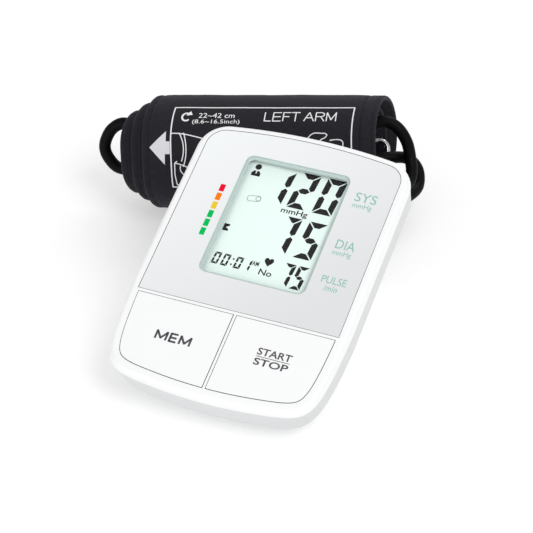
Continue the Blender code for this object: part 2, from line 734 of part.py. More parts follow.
def build_screws(frame):
    for number, (x, y) in enumerate(screw_places(), 1):
        seat = BOSS_SPLIT - 3.7
        length = 9.2
        profile = [(0, 0), (2.4, 0), (2.6, 0.4), (2.6, 1.6), (1.0, 1.9), (1.0, length), (0, 0)]
        shape = placed(revolve(profile, 12), (x, y, seat - 1.9), (0, 0, 1))
        screw = finish(f"case_screw_{number}", shape, steel(), frame)
        slot = box((x - 0.4, y - 1.5, seat - 3), (x + 0.4, y + 1.5, seat - 1.1))
        cut(screw, f"screw_slot_{number}", slot)


# ---------------------------------------------------------------- cuff


def spiral(turn, depth):
    """(y, z) in the roll's frame at a number of turns from the free end, depth in from the outside."""
    angle = CUFF_START - 2 * pi * turn
    radius = CUFF_RADIUS - CUFF_PITCH * turn - depth
    return radius * cos(angle), radius * sin(angle)


def slide(turn):
    """How far the strip has slid along the roll: a steady drift, and a lean over the top."""
    past = (LEAN_FROM - CUFF_START + 2 * pi * turn) % (2 * pi)
    leaning = LEAN * sin(pi * past / LEAN_SPAN) ** 2 if past < LEAN_SPAN else 0.0
    return leaning - CUFF_DRIFT * turn


def spiral_strip(steps, depths, sides):
    """A sheet that follows the roll: between two steps from the free end, two depths and two edges."""
    rings = []
    for step in range(steps[0], steps[1] + 1):
        turn = step / STEPS_PER_TURN
        outer, inner = spiral(turn, depths[0]), spiral(turn, depths[1])
        left, right = sides[0] + slide(turn), sides[1] + slide(turn)
        rings.append([(left, *outer), (right, *outer), (right, *inner), (left, *inner)])
    return loft(rings)


def build_cuff(frame):
    left, right = CUFF_LEFT, CUFF_RIGHT
    strip = spiral_strip(CUFF_STEPS, (0, CUFF_THICKNESS), (left, right))
    wrap = finish("cuff_wrap", strip, fabric(), frame)
    middle = CUFF_THICKNESS / 2
    pocket = (middle - POCKET_THICKNESS / 2, middle + POCKET_THICKNESS / 2)
    cut(wrap, "pocket", spiral_strip(POCKET_STEPS, pocket, (left + BLADDER_MARGIN, right + 4)))
    inside = (middle - BLADDER_THICKNESS / 2, middle + BLADDER_THICKNESS / 2)
    sheet = spiral_strip(BLADDER_STEPS, inside, (left + BLADDER_MARGIN + 1, right - BLADDER_MARGIN))
    finish("cuff_bladder", sheet, rubber(), frame)
    add(wrap, "ring_sleeve", rod(3.3, (SLEEVE_ENDS[0], *SLEEVE), (SLEEVE_ENDS[1], *SLEEVE), 14))
    cut(wrap, "ring_bore", rod(2.1, (-90, *SLEEVE), (90, *SLEEVE), 14))
    build_d_ring(frame)
    hook = (CUFF_THICKNESS + 0.2, CUFF_THICKNESS + 0.6)
    patch = spiral_strip(PATCH_STEPS, hook, (left + 12, right - 12))
    finish("hook_patch", patch, black_plastic(), frame)
    build_port(wrap, frame)


def build_d_ring(frame):
    """A closed wire loop: one long side runs in the sleeve, the other lies in the roll's hollow."""
    near, far = Vector((0, *SLEEVE)), Vector((0, *RING_BAR))
    across = (far - near).normalized()
    span = (far - near).length
    plan = rounded_rectangle(*RING_ENDS, 0, span, RING_CORNER)
    path = [near + across * y + Vector((x, 0, 0)) for x, y in plan]
    steps = 8
    rows = []
    for i, point in enumerate(path):
        ahead = (path[(i + 1) % len(path)] - path[i - 1]).normalized()
        side = across.cross(Vector((1, 0, 0))).normalized()
        other = ahead.cross(side)
        angles = [2 * pi * k / steps for k in range(steps)]
        rows.append([point + RING_WIRE * (side * cos(a) + other * sin(a)) for a in angles])
    finish("cuff_d_ring", loft_round(rows), steel(), frame)


def loft_round(rings):
    """A skin through rings that closes on itself."""
    bm = bmesh.new()
    rows = [[bm.verts.new(point) for point in ring] for ring in rings]
    for k, lower in enumerate(rows):
        upper = rows[(k + 1) % len(rows)]
        for i in range(len(lower)):
            j = (i + 1) % len(lower)
            bm.faces.new((lower[i], lower[j], upper[j], upper[i]))
    return bm


def port_point(radius):
    return radius * cos(PORT_ANGLE), radius * sin(PORT_ANGLE)


def build_port(wrap, frame):
    """An elbow on the outer layer: a stem down to the bladder, a flange, and a barb along the roll."""
    surface = port_surface()
    hole = rod(3.4, (PORT_X, *port_point(surface - 1.0)), (PORT_X, *port_point(surface + 6)), 14)
    cut(wrap, "port_hole", hole)
    stem = [(0, 0), (2.9, 0), (2.9, 1.2), (6.5, 1.2), (6.5, 2.1), (3.2, 2.7), (3.2, 7.9), (0, 0)]
    out = (0, cos(PORT_ANGLE), sin(PORT_ANGLE))
    body = placed(revolve(stem, 18), (PORT_X, *port_point(surface - 0.6)), out)
    port = finish("cuff_port", body, black_plastic(), frame)
    barb = port_point(surface + 4.6)
    add(port, "port_arm", rod(2.5, (PORT_X, *barb), (PORT_X + 5, *barb), 12))
    add(port, "port_barb", rod(1.5, (PORT_X + 4, *barb), (PORT_X + 11, *barb), 12))


def port_surface():
    """The roll's outer radius where the port sits."""
    turn = (CUFF_START - PORT_ANGLE) / (2 * pi) + 1
    return CUFF_RADIUS - CUFF_PITCH * turn


# ---------------------------------------------------------------- hose and plug


def plug_to_cuff(x, y, z):
    """Console upright coordinates to the roll's frame."""
    frame = Matrix.Translation(CUFF_CENTRE) @ Matrix.Rotation(CUFF_TURN, 4, "Z")
    return frame.inverted() @ Vector((x, y, z))


def hose_path():
    """From the plug, through the roll and back, to the cuff's port."""
    barb = port_point(port_surface() + 4.6)
    start = [plug_to_cuff(AIR_JACK_X, PLUG_END + step, SOCKET_Z) for step in (0.4, 3.5, 7.0)]
    right_upper = [
        (68, -32, -3.5), (77, -21, -8), (80, -13.5, -6), (79.7, -7, -1.1), (77.7, -3, 6.7), (72.7, 0, 13.6),
        (65.7, 1.5, 16.2), (57, 0.5, 13.2), (48, -0.3, 8.5),
    ]  # fmt: skip
    inside_upper = [(20, -0.5, 5), (-20, -0.5, 5), (-46, 0.5, 7.5), (-56, 1.5, 11.5)]
    left_loop = [
        (-63, 3, 13.4), (-68.5, 4.5, 12.8), (-73.8, 4.5, 8.4), (-76.8, 3, 1), (-75, 0.5, -5), (-68.9, -2.5, -9.6),
    ]  # fmt: skip
    inside_lower = [(-58, -4, -7.5), (-20, -4.5, -4), (20, -4.5, -3.5), (56, -3, -4)]
    right_lower = [
        (70, -1, -3.8), (79, 1, -5.8), (84, -3, -9.8), (84, -11, -14.2), (79.5, -19, -14.8), (71, -28, -13.5),
        (PORT_X + 14, *barb), (PORT_X + 9, *barb), (PORT_X + 6, *barb),
    ]  # fmt: skip
    return [Vector(p) for p in (*start, *right_upper, *inside_upper, *left_loop, *inside_lower, *right_lower)]


def build_hose(frame):
    path = smooth_path(hose_path(), 3)
    finish("air_hose", pipe(path, HOSE_RADIUS, HOSE_BORE, steps=10), hose_black(), frame)


def build_plug(frame):
    """A ribbed grip with a nozzle in the jack and a barb in the hose."""
    tip = SOCKET_FACE - 4.0
    grip = SOCKET_FACE + 3.2
    length = PLUG_END - grip
    profile = [(1.1, 0), (2.7, 0), (3.0, 0.5), (3.0, 7.2), (5.2, 7.2), (5.6, 7.6)]
    for k in range(4):
        start = 10.5 + 2.4 * k
        profile += [(5.6, start), (4.9, start + 0.3), (4.9, start + 1.2), (5.6, start + 1.5)]
    end = 7.2 + length
    profile += [(5.6, end - 1.4), (4.2, end), (1.45, end), (1.45, end + 5.0), (1.1, end + 5.0)]
    body = placed(revolve(profile, 18), (AIR_JACK_X, tip, SOCKET_Z), (0, 1, 0))
    inverse = (Matrix.Translation(CUFF_CENTRE) @ Matrix.Rotation(CUFF_TURN, 4, "Z")).inverted()
    bmesh.ops.transform(body, matrix=inverse, verts=body.verts)
    finish("air_plug", body, black_plastic(), frame)


# ---------------------------------------------------------------- assembly


def build():
    clear_scene()
    assembly = empty("assembly", ASSEMBLY_SHIFT)
    face = empty("console_face", (0, 0, FACE_HEIGHT), (TILT, 0, 0), assembly)
    table = empty("console_upright", (0, 0, 0), parent=assembly)
    roll = empty("cuff_roll", CUFF_CENTRE, (0, 0, CUFF_TURN), assembly)
    build_upper_case(face)
    build_lower_case(face)
    build_display_panel(face)
    build_display(face)
    for name, side in (("mem", -1), ("start_stop", 1)):
        build_button(f"{name}_button", side, face)
        build_switch(f"{name}_switch", side, face)
    build_board(face)
    build_pump(face)
    build_valve(face)
    build_air_lines(face)
    build_dc_socket(face)
    build_batteries(face)
    build_contacts(face)
    build_battery_cover(table)
    build_feet(table)
    build_screws(face)
    build_cuff(roll)
    build_hose(roll)
    build_plug(roll)


build()
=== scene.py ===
"""Looks for the upper arm blood pressure monitor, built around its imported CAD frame.

Shapes are drawn in millimetres in one of three local frames and then placed in the world in metres:
UPRIGHT, the console standing on the table; FACE, the sloping display face, +Z along its normal;
and ROLL, the rolled cuff, +X along its axis. Every piece rides on the CAD body it belongs to.
"""

import json
from math import atan2, cos, pi, radians, sin, sqrt, tan

import bmesh
import bpy
from mathutils import Matrix, Vector, noise
from mathutils.geometry import interpolate_bezier


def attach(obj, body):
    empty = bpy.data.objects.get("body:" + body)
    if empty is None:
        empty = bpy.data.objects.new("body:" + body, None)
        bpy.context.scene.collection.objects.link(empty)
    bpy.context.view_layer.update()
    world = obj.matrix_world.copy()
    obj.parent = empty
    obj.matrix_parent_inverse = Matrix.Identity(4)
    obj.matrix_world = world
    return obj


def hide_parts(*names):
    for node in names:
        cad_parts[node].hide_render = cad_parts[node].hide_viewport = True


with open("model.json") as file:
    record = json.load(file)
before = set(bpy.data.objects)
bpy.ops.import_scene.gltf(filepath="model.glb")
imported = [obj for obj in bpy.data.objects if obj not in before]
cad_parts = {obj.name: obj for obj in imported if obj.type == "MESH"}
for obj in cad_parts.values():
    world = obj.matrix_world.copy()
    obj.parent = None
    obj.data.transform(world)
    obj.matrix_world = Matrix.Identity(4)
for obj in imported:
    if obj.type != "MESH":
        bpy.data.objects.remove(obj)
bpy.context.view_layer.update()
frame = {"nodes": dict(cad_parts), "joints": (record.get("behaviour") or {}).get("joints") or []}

MM = 0.001
JOINTS = {joint["name"]: joint for joint in frame["joints"]}

# Console, in the face's frame
FACE_HEIGHT = 48.1
HALF_WIDTH = 53.2
REAR, FRONT = 71.8, -73.4
REAR_CORNER, REAR_BOW = 15.0, 290.0
NOSE_SIDE, NOSE_BELLY = -24.0, 26.0
NOSE_RISE, NOSE_SLOPE = 1.5, 0.11
NOSE_PULL_SIDE, NOSE_PULL_FRONT = 44.0, 25.0
WALL, PARTING, CASE_GAP = 2.4, -4.0, 0.3
LIP_WIDTH, CEILING, POCKET_FLOOR = 2.8, -3.6, -2.0
BAND_BOTTOM, BAND_SOFTNESS = -16.4, 0.1
PANEL_HALF, PANEL_REAR, PANEL_FRONT, PANEL_CORNER, PANEL_BOW = 48.4, 67.8, -27.9, 9.1, 285.0
WINDOW = (-26.0, 26.0, -12.2, 54.4)
WINDOW_CORNER, BEVEL_WIDTH = 3.9, 1.5
KEY_REAR, KEY_INSET, KEY_INNER, KEY_GAP, KEY_TOP = -29.9, 5.4, 0.9, 0.3, 0.25
FLANGE_TOP, FLANGE_FOOT, POST_X, POST_Y, POST_FOOT = -3.9, -5.1, 24.0, -48.0, -7.6
LCD_FACE = -3.9
INK = 0.03  # how proud a printed mark stands

# Under-body, in upright coordinates
BASE_Z, BASE_EDGE = 1.0, 1.8
BASE_HALF, BASE_REAR_HALF, BASE_FRONT, BASE_REAR = 46.5, 37.5, -49.0, 60.0
COVER = (-31.6, 31.6, -16.2, 50.0)
COVER_GAP, COVER_THICKNESS, TONGUES = 0.35, 1.8, (-18.0, 18.0)
BAY = (-29.4, 29.4, -13.8, 47.6)
BAY_TOP = 18.4
BELOW = -90.0  # far under the case, where the cuts for screws start
SCREW_PLACES = [(side * 37.5, y) for y in (-22.0, 52.0) for side in (-1, 1)]
FOOT_PLACES, FOOT_HALVES = [(-37.5, -38), (37.5, -38), (-34.6, 40), (34.6, 40)], (2.2, 6.0)
BOSS_SPLIT, BOSS_RADIUS, SHAFT_HOLE, HEAD_HOLE = -13.0, 4.0, 1.5, 2.9
SOCKET_Z, AIR_JACK_X, DC_SOCKET_X, SOCKET_FACE = 30.0, 20.0, -20.0, 66.5
CELL_RADIUS, CELL_LENGTH, CELL_PITCH, CELL_HEIGHT = 7.2, 49.5, 15.2, 10.7
PLUG_END = 90.0

# Rolled cuff, in the roll's frame
CUFF_LEFT, CUFF_RIGHT = -53.8, 62.7
CUFF_RADIUS, CUFF_THICKNESS = 30.5, 3.0
CUFF_TURNS, CUFF_PITCH, CUFF_DRIFT = 2.8, 3.8, 5.6
CUFF_START = -75.0
LEAN, LEAN_FROM, LEAN_SPAN = 17.0, 144.0, 330.0  # how far the layers' edges lean over the top
SLEEVE, SLEEVE_ENDS = (15.9, -3.8), (-50.0, 60.5)
RING_BAR, RING_ENDS, RING_CORNER, RING_WIRE = (5.0, -13.3), (-58.0, 69.0), 5.0, 1.6
HEM_LEFT, HEM_RIGHT, EDGE_ROUND = 3.2, 8.2, 1.3
STITCH_PITCH, STITCH_LENGTH, THREAD_RADIUS = 3.1, 2.2, 0.2
PORT_X, PORT_ANGLE = 47.0, 200.0
HOSE_RADIUS, HOSE_BORE = 3.05, 1.9
PRINT_TOP, PRINT_FOOT = 0.07, -0.05  # how far the print's two faces lie from the cloth's outside

# Local frames

press = Vector(JOINTS["mem_press"]["axis"])
TILT = atan2(press.y, -press.z)
hinge = Vector(JOINTS["battery_cover_swing"]["pos_m"])
UPRIGHT = Matrix.Translation((hinge.x, hinge.y - COVER[2] * MM, 0)) @ Matrix.Scale(MM, 4)
TO_FACE = Matrix.Translation((0, 0, FACE_HEIGHT)) @ Matrix.Rotation(TILT, 4, "X")
FACE = UPRIGHT @ TO_FACE
ring_axis = Vector(JOINTS["cuff_ring_swing"]["axis"])
CUFF_TURN = Matrix.Rotation(atan2(ring_axis.y, ring_axis.x), 4, "Z")
ring_place = Matrix.Translation(JOINTS["cuff_ring_swing"]["pos_m"])
ROLL = ring_place @ CUFF_TURN @ Matrix.Scale(MM, 4) @ Matrix.Translation((0, -SLEEVE[0], -SLEEVE[1]))

# Materials


def add_node(tree, kind, **settings):
    made = tree.nodes.new(kind)
    for key, value in settings.items():
        setattr(made, key, value)
    return made


def set_inputs(node, values):
    for key, value in values.items():
        node.inputs[key].default_value = value


def math_node(tree, operation, first, second=None):
    """A Math node over sockets or plain numbers."""
    made = add_node(tree, "ShaderNodeMath", operation=operation)
    for slot, value in enumerate((first, second)):
        if value is None:
            continue
        if isinstance(value, (int, float)):
            made.inputs[slot].default_value = value
        else:
            tree.links.new(value, made.inputs[slot])
    return made.outputs[0]


def object_noise(tree, size_mm, detail=2.0):
    """Noise whose features are about size_mm across."""
    place = add_node(tree, "ShaderNodeTexCoord")
    cloud = add_node(tree, "ShaderNodeTexNoise")
    set_inputs(cloud, {"Scale": 1 / (size_mm * MM), "Detail": detail})
    tree.links.new(place.outputs["Object"], cloud.inputs["Vector"])
    return cloud.outputs["Fac"]


def ramp(tree, value, low, high):
    """Maps 0..1 to a range of numbers."""
    made = add_node(tree, "ShaderNodeMapRange")
    tree.links.new(value, made.inputs["Value"])
    set_inputs(made, {"To Min": low, "To Max": high})
    return made.outputs["Result"]


def mix(tree, share, first, second):
    """A colour between two, by a 0..1 socket."""
    made = add_node(tree, "ShaderNodeMix", data_type="RGBA")
    tree.links.new(share, made.inputs[0])
    set_inputs(made, {6: (*first, 1), 7: (*second, 1)})
    return made.outputs[2]


def set_bump(tree, height, strength, distance_mm):
    made = add_node(tree, "ShaderNodeBump")
    set_inputs(made, {"Strength": strength, "Distance": distance_mm * MM})
    tree.links.new(height, made.inputs["Height"])
    tree.links.new(made.outputs["Normal"], tree.nodes["Principled BSDF"].inputs["Normal"])


PLAIN = {  # colour, roughness, mottling, grain in mm, bump, its depth in mm, other inputs
    "white_abs": ((0.90, 0.905, 0.91), 0.30, 0.02, 0.5, 0.06, 0.02, {"Coat Weight": 0.15}),
    # Lower shell and battery cover: light grey plastic, darkened further as painted shade, since the front
    # band faces away from the light.
    "grey_abs": ((0.69, 0.705, 0.71), 0.42, 0.03, 0.35, 0.25, 0.03, {}),
    "black_abs": ((0.022, 0.022, 0.026), 0.42, 0.2, 0.4, 0.2, 0.03, {}),
    "dark_rubber": ((0.018, 0.018, 0.02), 0.72, 0.25, 0.5, 0.4, 0.05, {}),
    "hose_rubber": ((0.003, 0.003, 0.004), 0.5, 0.3, 1.6, 0.12, 0.05, {"Specular IOR Level": 0.08}),
    "plated_steel": ((0.62, 0.62, 0.64), 0.22, 0.08, 0.3, 0.15, 0.01, {"Metallic": 1.0}),
    "clear_tube": ((0.80, 0.80, 0.77), 0.35, 0.06, 1.2, 0.1, 0.03, {"Subsurface Weight": 0.2}),
    "board_mask": ((0.02, 0.16, 0.07), 0.35, 0.3, 1.5, 0.3, 0.03, {}),
    "cell_sleeve": ((0.08, 0.10, 0.15), 0.25, 0.1, 2.0, 0.05, 0.02, {"Coat Weight": 0.5}),
    "cell_band": ((0.55, 0.56, 0.58), 0.25, 0.05, 2.0, 0.05, 0.02, {"Metallic": 0.6}),
    "seam_shade": ((0.16, 0.16, 0.17), 0.6, 0.05, 0.5, 0.1, 0.02, {}),
    "thread": ((0.016, 0.015, 0.020), 0.8, 0.3, 0.25, 0.5, 0.05, {"Specular IOR Level": 0.15}),
    "bevel_tint": ((0.50, 0.61, 0.58), 0.3, 0.06, 2.0, 0.05, 0.02, {}),
    # Face panel: light grey print, with a painted reflection gradient laid over its colour by
    # paint_panel_reflection.
    "panel_print_and_painted_reflection": ((0.80, 0.81, 0.82), 0.33, 0.02, 0.5, 0.05, 0.02, {"Coat Weight": 0.1}),
    # Painted light: the LCD's colour is raised and a faint emission makes it glow, making up for the shade of
    # its recess; the display has no lamp behind it.
    "lcd_back": (
        (0.86, 0.96, 0.93), 0.4, 0.03, 6.0, 0.02, 0.01,
        {"Emission Color": (0.80, 1.0, 0.95, 1), "Emission Strength": 0.05},
    ),
    "hook_tape": ((0.02, 0.02, 0.022), 0.85, 0.3, 0.5, 1.0, 0.3, {}),
    "floor_paper": (
        (0.60, 0.60, 0.60), 0.9, 0.0, 4.0, 0.02, 0.05,
        {"Emission Color": (1, 1, 1, 1), "Emission Strength": 0.42},
    ),
}
INKS = {  # colour, roughness
    "lcd_ink": ((0.018, 0.016, 0.020), 0.5),
    "faint_ink": ((0.42, 0.47, 0.46), 0.5),
    "mint_ink": ((0.27, 0.52, 0.43), 0.45),
    "key_ink": ((0.085, 0.085, 0.095), 0.45),
    "bar_red": ((0.80, 0.004, 0.03), 0.45),
    "bar_orange": ((0.95, 0.20, 0.005), 0.45),
    "bar_yellow": ((0.82, 0.58, 0.03), 0.45),
    "bar_green": ((0.0, 0.50, 0.10), 0.45),
}
CLOTHS = {  # darker thread, lighter thread, roughness, bump
    "cuff_nylon": ((0.007, 0.0065, 0.010), (0.017, 0.016, 0.022), 0.8, 0.6),
    "white_print": ((0.72, 0.73, 0.74), (0.86, 0.86, 0.87), 0.65, 0.3),
    "grey_print": ((0.60, 0.60, 0.62), (0.70, 0.70, 0.72), 0.65, 0.3),
}
THREAD_MM = 0.42


def look(name):
    """A material by its name, made when it is first asked for."""
    made = bpy.data.materials.get(name)
    if made:
        return made
    made = bpy.data.materials.new(name)
    made.use_nodes = True
    tree = made.node_tree
    if name == "clear_window":
        clear_window(tree)
    elif name in CLOTHS:
        woven(tree, *CLOTHS[name])
    elif name in INKS:
        surface(tree, *INKS[name], 0.04, 0.3, 0.05, 0.01, {"Specular IOR Level": 0.06})
    else:
        surface(tree, *PLAIN[name])
    if name == "panel_print_and_painted_reflection":
        paint_panel_reflection(tree)
    return made


def surface(tree, colour, roughness, mottling, grain_mm, bump, depth_mm, inputs):
    """Slight mottling of colour and roughness over a fine moulded grain."""
    shader = tree.nodes["Principled BSDF"]
    darker = [channel * (1 - mottling) for channel in colour]
    cloud = object_noise(tree, 9.0, 3.0)
    tree.links.new(mix(tree, cloud, darker, colour), shader.inputs["Base Color"])
    tree.links.new(ramp(tree, cloud, roughness * 0.85, roughness * 1.15), shader.inputs["Roughness"])
    set_bump(tree, object_noise(tree, grain_mm, 3.0), bump, depth_mm)
    set_inputs(shader, inputs)


def paint_panel_reflection(tree):
    """A painted reflection: the face panel's colour runs from near white at its upper left to a light grey at
    its lower right, standing in for how the light falls over its satin face.
    """
    place = add_node(tree, "ShaderNodeTexCoord")
    along = add_node(tree, "ShaderNodeVectorMath", operation="DOT_PRODUCT")
    right, back = FACE.to_3x3() @ Vector((1000, 0, 0)), FACE.to_3x3() @ Vector((0, 1000, 0))
    slope = right * 0.75 - back * 0.66
    along.inputs[1].default_value = slope
    tree.links.new(place.outputs["Object"], along.inputs[0])
    share = add_node(tree, "ShaderNodeMapRange")
    middle = slope.dot(FACE @ Vector((0, 20, 0)))
    set_inputs(share, {"From Min": middle - 62 * MM, "From Max": middle + 50 * MM})
    tree.links.new(along.outputs["Value"], share.inputs["Value"])
    colour = mix(tree, share.outputs["Result"], (0.87, 0.89, 0.90), (0.70, 0.71, 0.725))
    tree.links.new(colour, tree.nodes["Principled BSDF"].inputs["Base Color"])


def clear_window(tree):
    """Nearly all light passes straight through; the rest is a faint reflection."""
    tree.nodes.remove(tree.nodes["Principled BSDF"])
    through = add_node(tree, "ShaderNodeBsdfTransparent")
    through.inputs["Color"].default_value = (0.985, 0.995, 0.99, 1)
    shine = add_node(tree, "ShaderNodeBsdfGlossy")
    shine.inputs["Roughness"].default_value = 0.06
    layer = add_node(tree, "ShaderNodeMixShader")
    parts = (ramp(tree, object_noise(tree, 30.0), 0.008, 0.015), through.outputs[0], shine.outputs[0])
    for socket, part in zip(layer.inputs, parts):
        tree.links.new(part, socket)
    tree.links.new(layer.outputs[0], tree.nodes["Material Output"].inputs["Surface"])


def woven(tree, dark, light, roughness, weave_bump):
    """A plain weave over UVs in millimetres, with uneven threads and a soft sheen."""
    shader = tree.nodes["Principled BSDF"]
    place = add_node(tree, "ShaderNodeUVMap")
    axes = add_node(tree, "ShaderNodeSeparateXYZ")
    tree.links.new(place.outputs["UV"], axes.inputs[0])
    scaled = [math_node(tree, "MULTIPLY", axes.outputs[k], pi / THREAD_MM) for k in (0, 1)]
    checks = math_node(tree, "MULTIPLY", *[math_node(tree, "SINE", wave) for wave in scaled])
    slub = object_noise(tree, 2.2, 4.0)
    share = math_node(tree, "ADD", math_node(tree, "MULTIPLY", checks, 0.25), slub)
    tree.links.new(mix(tree, share, dark, light), shader.inputs["Base Color"])
    set_inputs(shader, {"Roughness": roughness, "Specular IOR Level": 0.2})
    set_inputs(shader, {"Sheen Weight": 0.08, "Sheen Roughness": 0.45, "Sheen Tint": (0.75, 0.74, 0.85, 1)})
    uneven = math_node(tree, "ADD", checks, math_node(tree, "MULTIPLY", slub, 1.6))
    set_bump(tree, uneven, weave_bump, 0.12)


# Mesh helpers


def added(name, data):
    obj = bpy.data.objects.new(name, data)
    bpy.context.scene.collection.objects.link(obj)
    return obj


def temp(bm):
    """A working solid, in local millimetres, not part of the object."""
    bmesh.ops.recalc_face_normals(bm, faces=bm.faces)
    mesh = bpy.data.meshes.new("work")
    bm.to_mesh(mesh)
    bm.free()
    return added("work", mesh)


def apply_modifiers(obj):
    graph = bpy.context.evaluated_depsgraph_get()
    mesh = bpy.data.meshes.new_from_object(obj.evaluated_get(graph))
    obj.modifiers.clear()
    obj.data = mesh


def combine(obj, operation, *others):
    for bm in others:
        other = temp(bm)
        modifier = obj.modifiers.new("work", "BOOLEAN")
        modifier.operation = operation
        modifier.object = other
        modifier.solver = "EXACT"
        apply_modifiers(obj)
        bpy.data.objects.remove(other)


def carve(obj, *others):
    combine(obj, "DIFFERENCE", *others)


def weld(obj, *others):
    combine(obj, "UNION", *others)


def eased(obj, width, segments=2, angle=40):
    """Rounds the edges sharper than an angle."""
    modifier = obj.modifiers.new("edge", "BEVEL")
    modifier.width = width
    modifier.segments = segments
    modifier.limit_method = "ANGLE"
    modifier.angle_limit = radians(angle)
    apply_modifiers(obj)


def piece(name, shape, skin, place, body, stands_for=(), sharp=35, choice=()):
    """Finishes a local shape as a piece of the object: placed, shaded, and riding on a body. Skin is one
    material's name or several, and choice then gives each face's."""
    obj = shape if isinstance(shape, bpy.types.Object) else temp(shape)
    obj.name = name
    obj.data.name = name
    obj.data.transform(place)
    obj.data.materials.clear()
    for each in [skin] if isinstance(skin, str) else skin:
        obj.data.materials.append(look(each))
    if choice:
        obj.data.polygons.foreach_set("material_index", choice)
    obj.data.shade_smooth()
    obj.data.set_sharp_from_angle(angle=radians(sharp))
    weighted = obj.modifiers.new("weighted", "WEIGHTED_NORMAL")
    weighted.keep_sharp = True
    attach(obj, body)
    if stands_for:
        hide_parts(*stands_for)


def upright_walls(shape):
    """1 for the walls of a seam, which lie in shade, and 0 for every other face."""
    return [int(abs(face.normal.z) < 0.05 and face.center.z > CEILING) for face in shape.data.polygons]


def bridge(bm, rows, closed_ends=True):
    """Faces between rows of vertices of equal count; the ends are capped, or joined."""
    for lower, upper in zip(rows, rows[1:] if closed_ends else rows[1:] + rows[:1]):
        for i in range(len(lower)):
            j = (i + 1) % len(lower)
            bm.faces.new((lower[i], lower[j], upper[j], upper[i]))
    if closed_ends:
        bm.faces.new(rows[0])
        bm.faces.new(reversed(rows[-1]))


def loft(rings, closed_ends=True):
    bm = bmesh.new()
    bridge(bm, [[bm.verts.new(point) for point in ring] for ring in rings], closed_ends)
    return bm


def set_uv(bm, place):
    """UVs in millimetres, from a function of the vertex."""
    uv = bm.loops.layers.uv.new("UVMap")
    for face in bm.faces:
        for corner in face.loops:
            corner[uv].uv = place(corner.vert)


def prism(points, low, high):
    return loft([at(points, low), at(points, high)])


def at(points, z):
    return [(x, y, z) for x, y in points]


def box(low, high):
    bm = bmesh.new()
    bmesh.ops.create_cube(bm, size=1.0)
    bmesh.ops.scale(bm, vec=Vector(high) - Vector(low), verts=bm.verts)
    bmesh.ops.translate(bm, vec=(Vector(high) + Vector(low)) / 2, verts=bm.verts)
    return bm


def moved(bm, matrix):
    bmesh.ops.transform(bm, matrix=matrix, verts=bm.verts)
    return bm


def in_face(bm):
    """Takes a shape from upright coordinates to the face's frame."""
    return moved(bm, TO_FACE.inverted())


def stood(bm, start, direction):
    """Stands a shape drawn about +Z on a point, looking along a direction."""
    turn = Vector(direction).to_track_quat("Z", "Y").to_matrix().to_4x4()
    return moved(bm, Matrix.Translation(start) @ turn)


def revolve(profile, steps=48):
    """A solid of revolution about Z from (radius, height) points, open on the axis or a closed loop."""
    on_axis = profile[0][0] == 0
    rings = []
    for radius, height in profile[1:-1] if on_axis else profile:
        rings.append([(radius * cos(a), radius * sin(a), height) for a in full_turn(steps)])
    return loft(rings, closed_ends=on_axis)


def rod(radius, start, end, steps=40):
    start, end = Vector(start), Vector(end)
    length = (end - start).length
    return stood(revolve([(0, 0), (radius, 0), (radius, length), (0, length)], steps), start, end - start)


def full_turn(steps):
    return [2 * pi * k / steps for k in range(steps)]


def arc(centre, radius, first, last, steps):
    angles = [first + (last - first) * k / steps for k in range(steps + 1)]
    return [(centre[0] + radius * cos(a), centre[1] + radius * sin(a)) for a in angles]


def rounded_rectangle(left, right, front, rear, corner, steps=8):
    points = []
    corners = (
        (right - corner, front + corner, -pi / 2),
        (right - corner, rear - corner, 0),
        (left + corner, rear - corner, pi / 2),
        (left + corner, front + corner, pi),
    )
    for x, y, first in corners:
        points += arc((x, y), corner, first, first + pi / 2, steps)
    return points


def grown(sides, by):
    left, right, front, rear = sides
    return left - by, right + by, front - by, rear + by


def bowed_side(half, end, corner, bow):
    """The right half of one end of an outline that ends at +Y: the corner arc, then the bow."""
    bow_centre = end - bow
    corner_x = half - corner
    corner_y = bow_centre + sqrt((bow - corner) ** 2 - corner_x**2)
    meet = atan2(corner_y - bow_centre, corner_x)
    return arc((corner_x, corner_y), corner, 0, meet, 12) + arc((0, bow_centre), bow, meet, pi / 2, 8)[1:]


def nose_side(softness):
    """The right half of the front edge, from its middle to where the sides run straight."""
    belly = [(NOSE_BELLY * k / 6, FRONT + NOSE_RISE * (k / 6) ** 2) for k in range(6)]
    low, high = Vector((NOSE_BELLY, FRONT + NOSE_RISE)), Vector((HALF_WIDTH, NOSE_SIDE))
    pull_low = low + Vector((1, NOSE_SLOPE)) * NOSE_PULL_FRONT * (1 - softness)
    pull_high = high - Vector((0.05, 1)) * NOSE_PULL_SIDE * (1 - softness)
    curve = interpolate_bezier(*[point.to_3d() for point in (low, pull_low, pull_high, high)], 28)
    return belly + [(point.x, point.y) for point in curve]


def moved_in(points, inset):
    """A closed anticlockwise outline, each corner moved inwards square to the line there."""
    shifted = []
    for before, point, after in zip(points[-1:] + points, points, points[1:] + points[:1]):
        along = (Vector(after) - Vector(before)).normalized()
        shifted.append((point[0] - along.y * inset, point[1] + along.x * inset))
    return shifted


def outline(inset=0.0, softness=0.0):
    right = nose_side(softness) + bowed_side(HALF_WIDTH, REAR, REAR_CORNER, REAR_BOW)
    return moved_in(right + [(-x, y) for x, y in reversed(right[1:-1])], inset)


def panel_outline(inset=0.0):
    half = PANEL_HALF - inset
    front = PANEL_FRONT + inset
    right = [(half, front)] + bowed_side(half, PANEL_REAR - inset, PANEL_CORNER - inset, PANEL_BOW - inset)
    return right + [(-x, y) for x, y in reversed(right[:-1])]


def key_outline(side, grow=0.0):
    """A button's plan outline. Side is +1 for the right-hand button and -1 for the left."""
    inner, rear = KEY_INNER - grow, KEY_REAR + grow
    edge = moved_in(outline(), KEY_INSET - grow)
    curve = [(x, y) for x, y in edge[: len(edge) // 2] if x > 2 and y < rear - 1]
    points = [(inner, edge[0][1]), *curve, (curve[-1][0] + 0.1, rear), (inner, rear)]
    return [(side * x, y) for x, y in points[:: int(side)]]


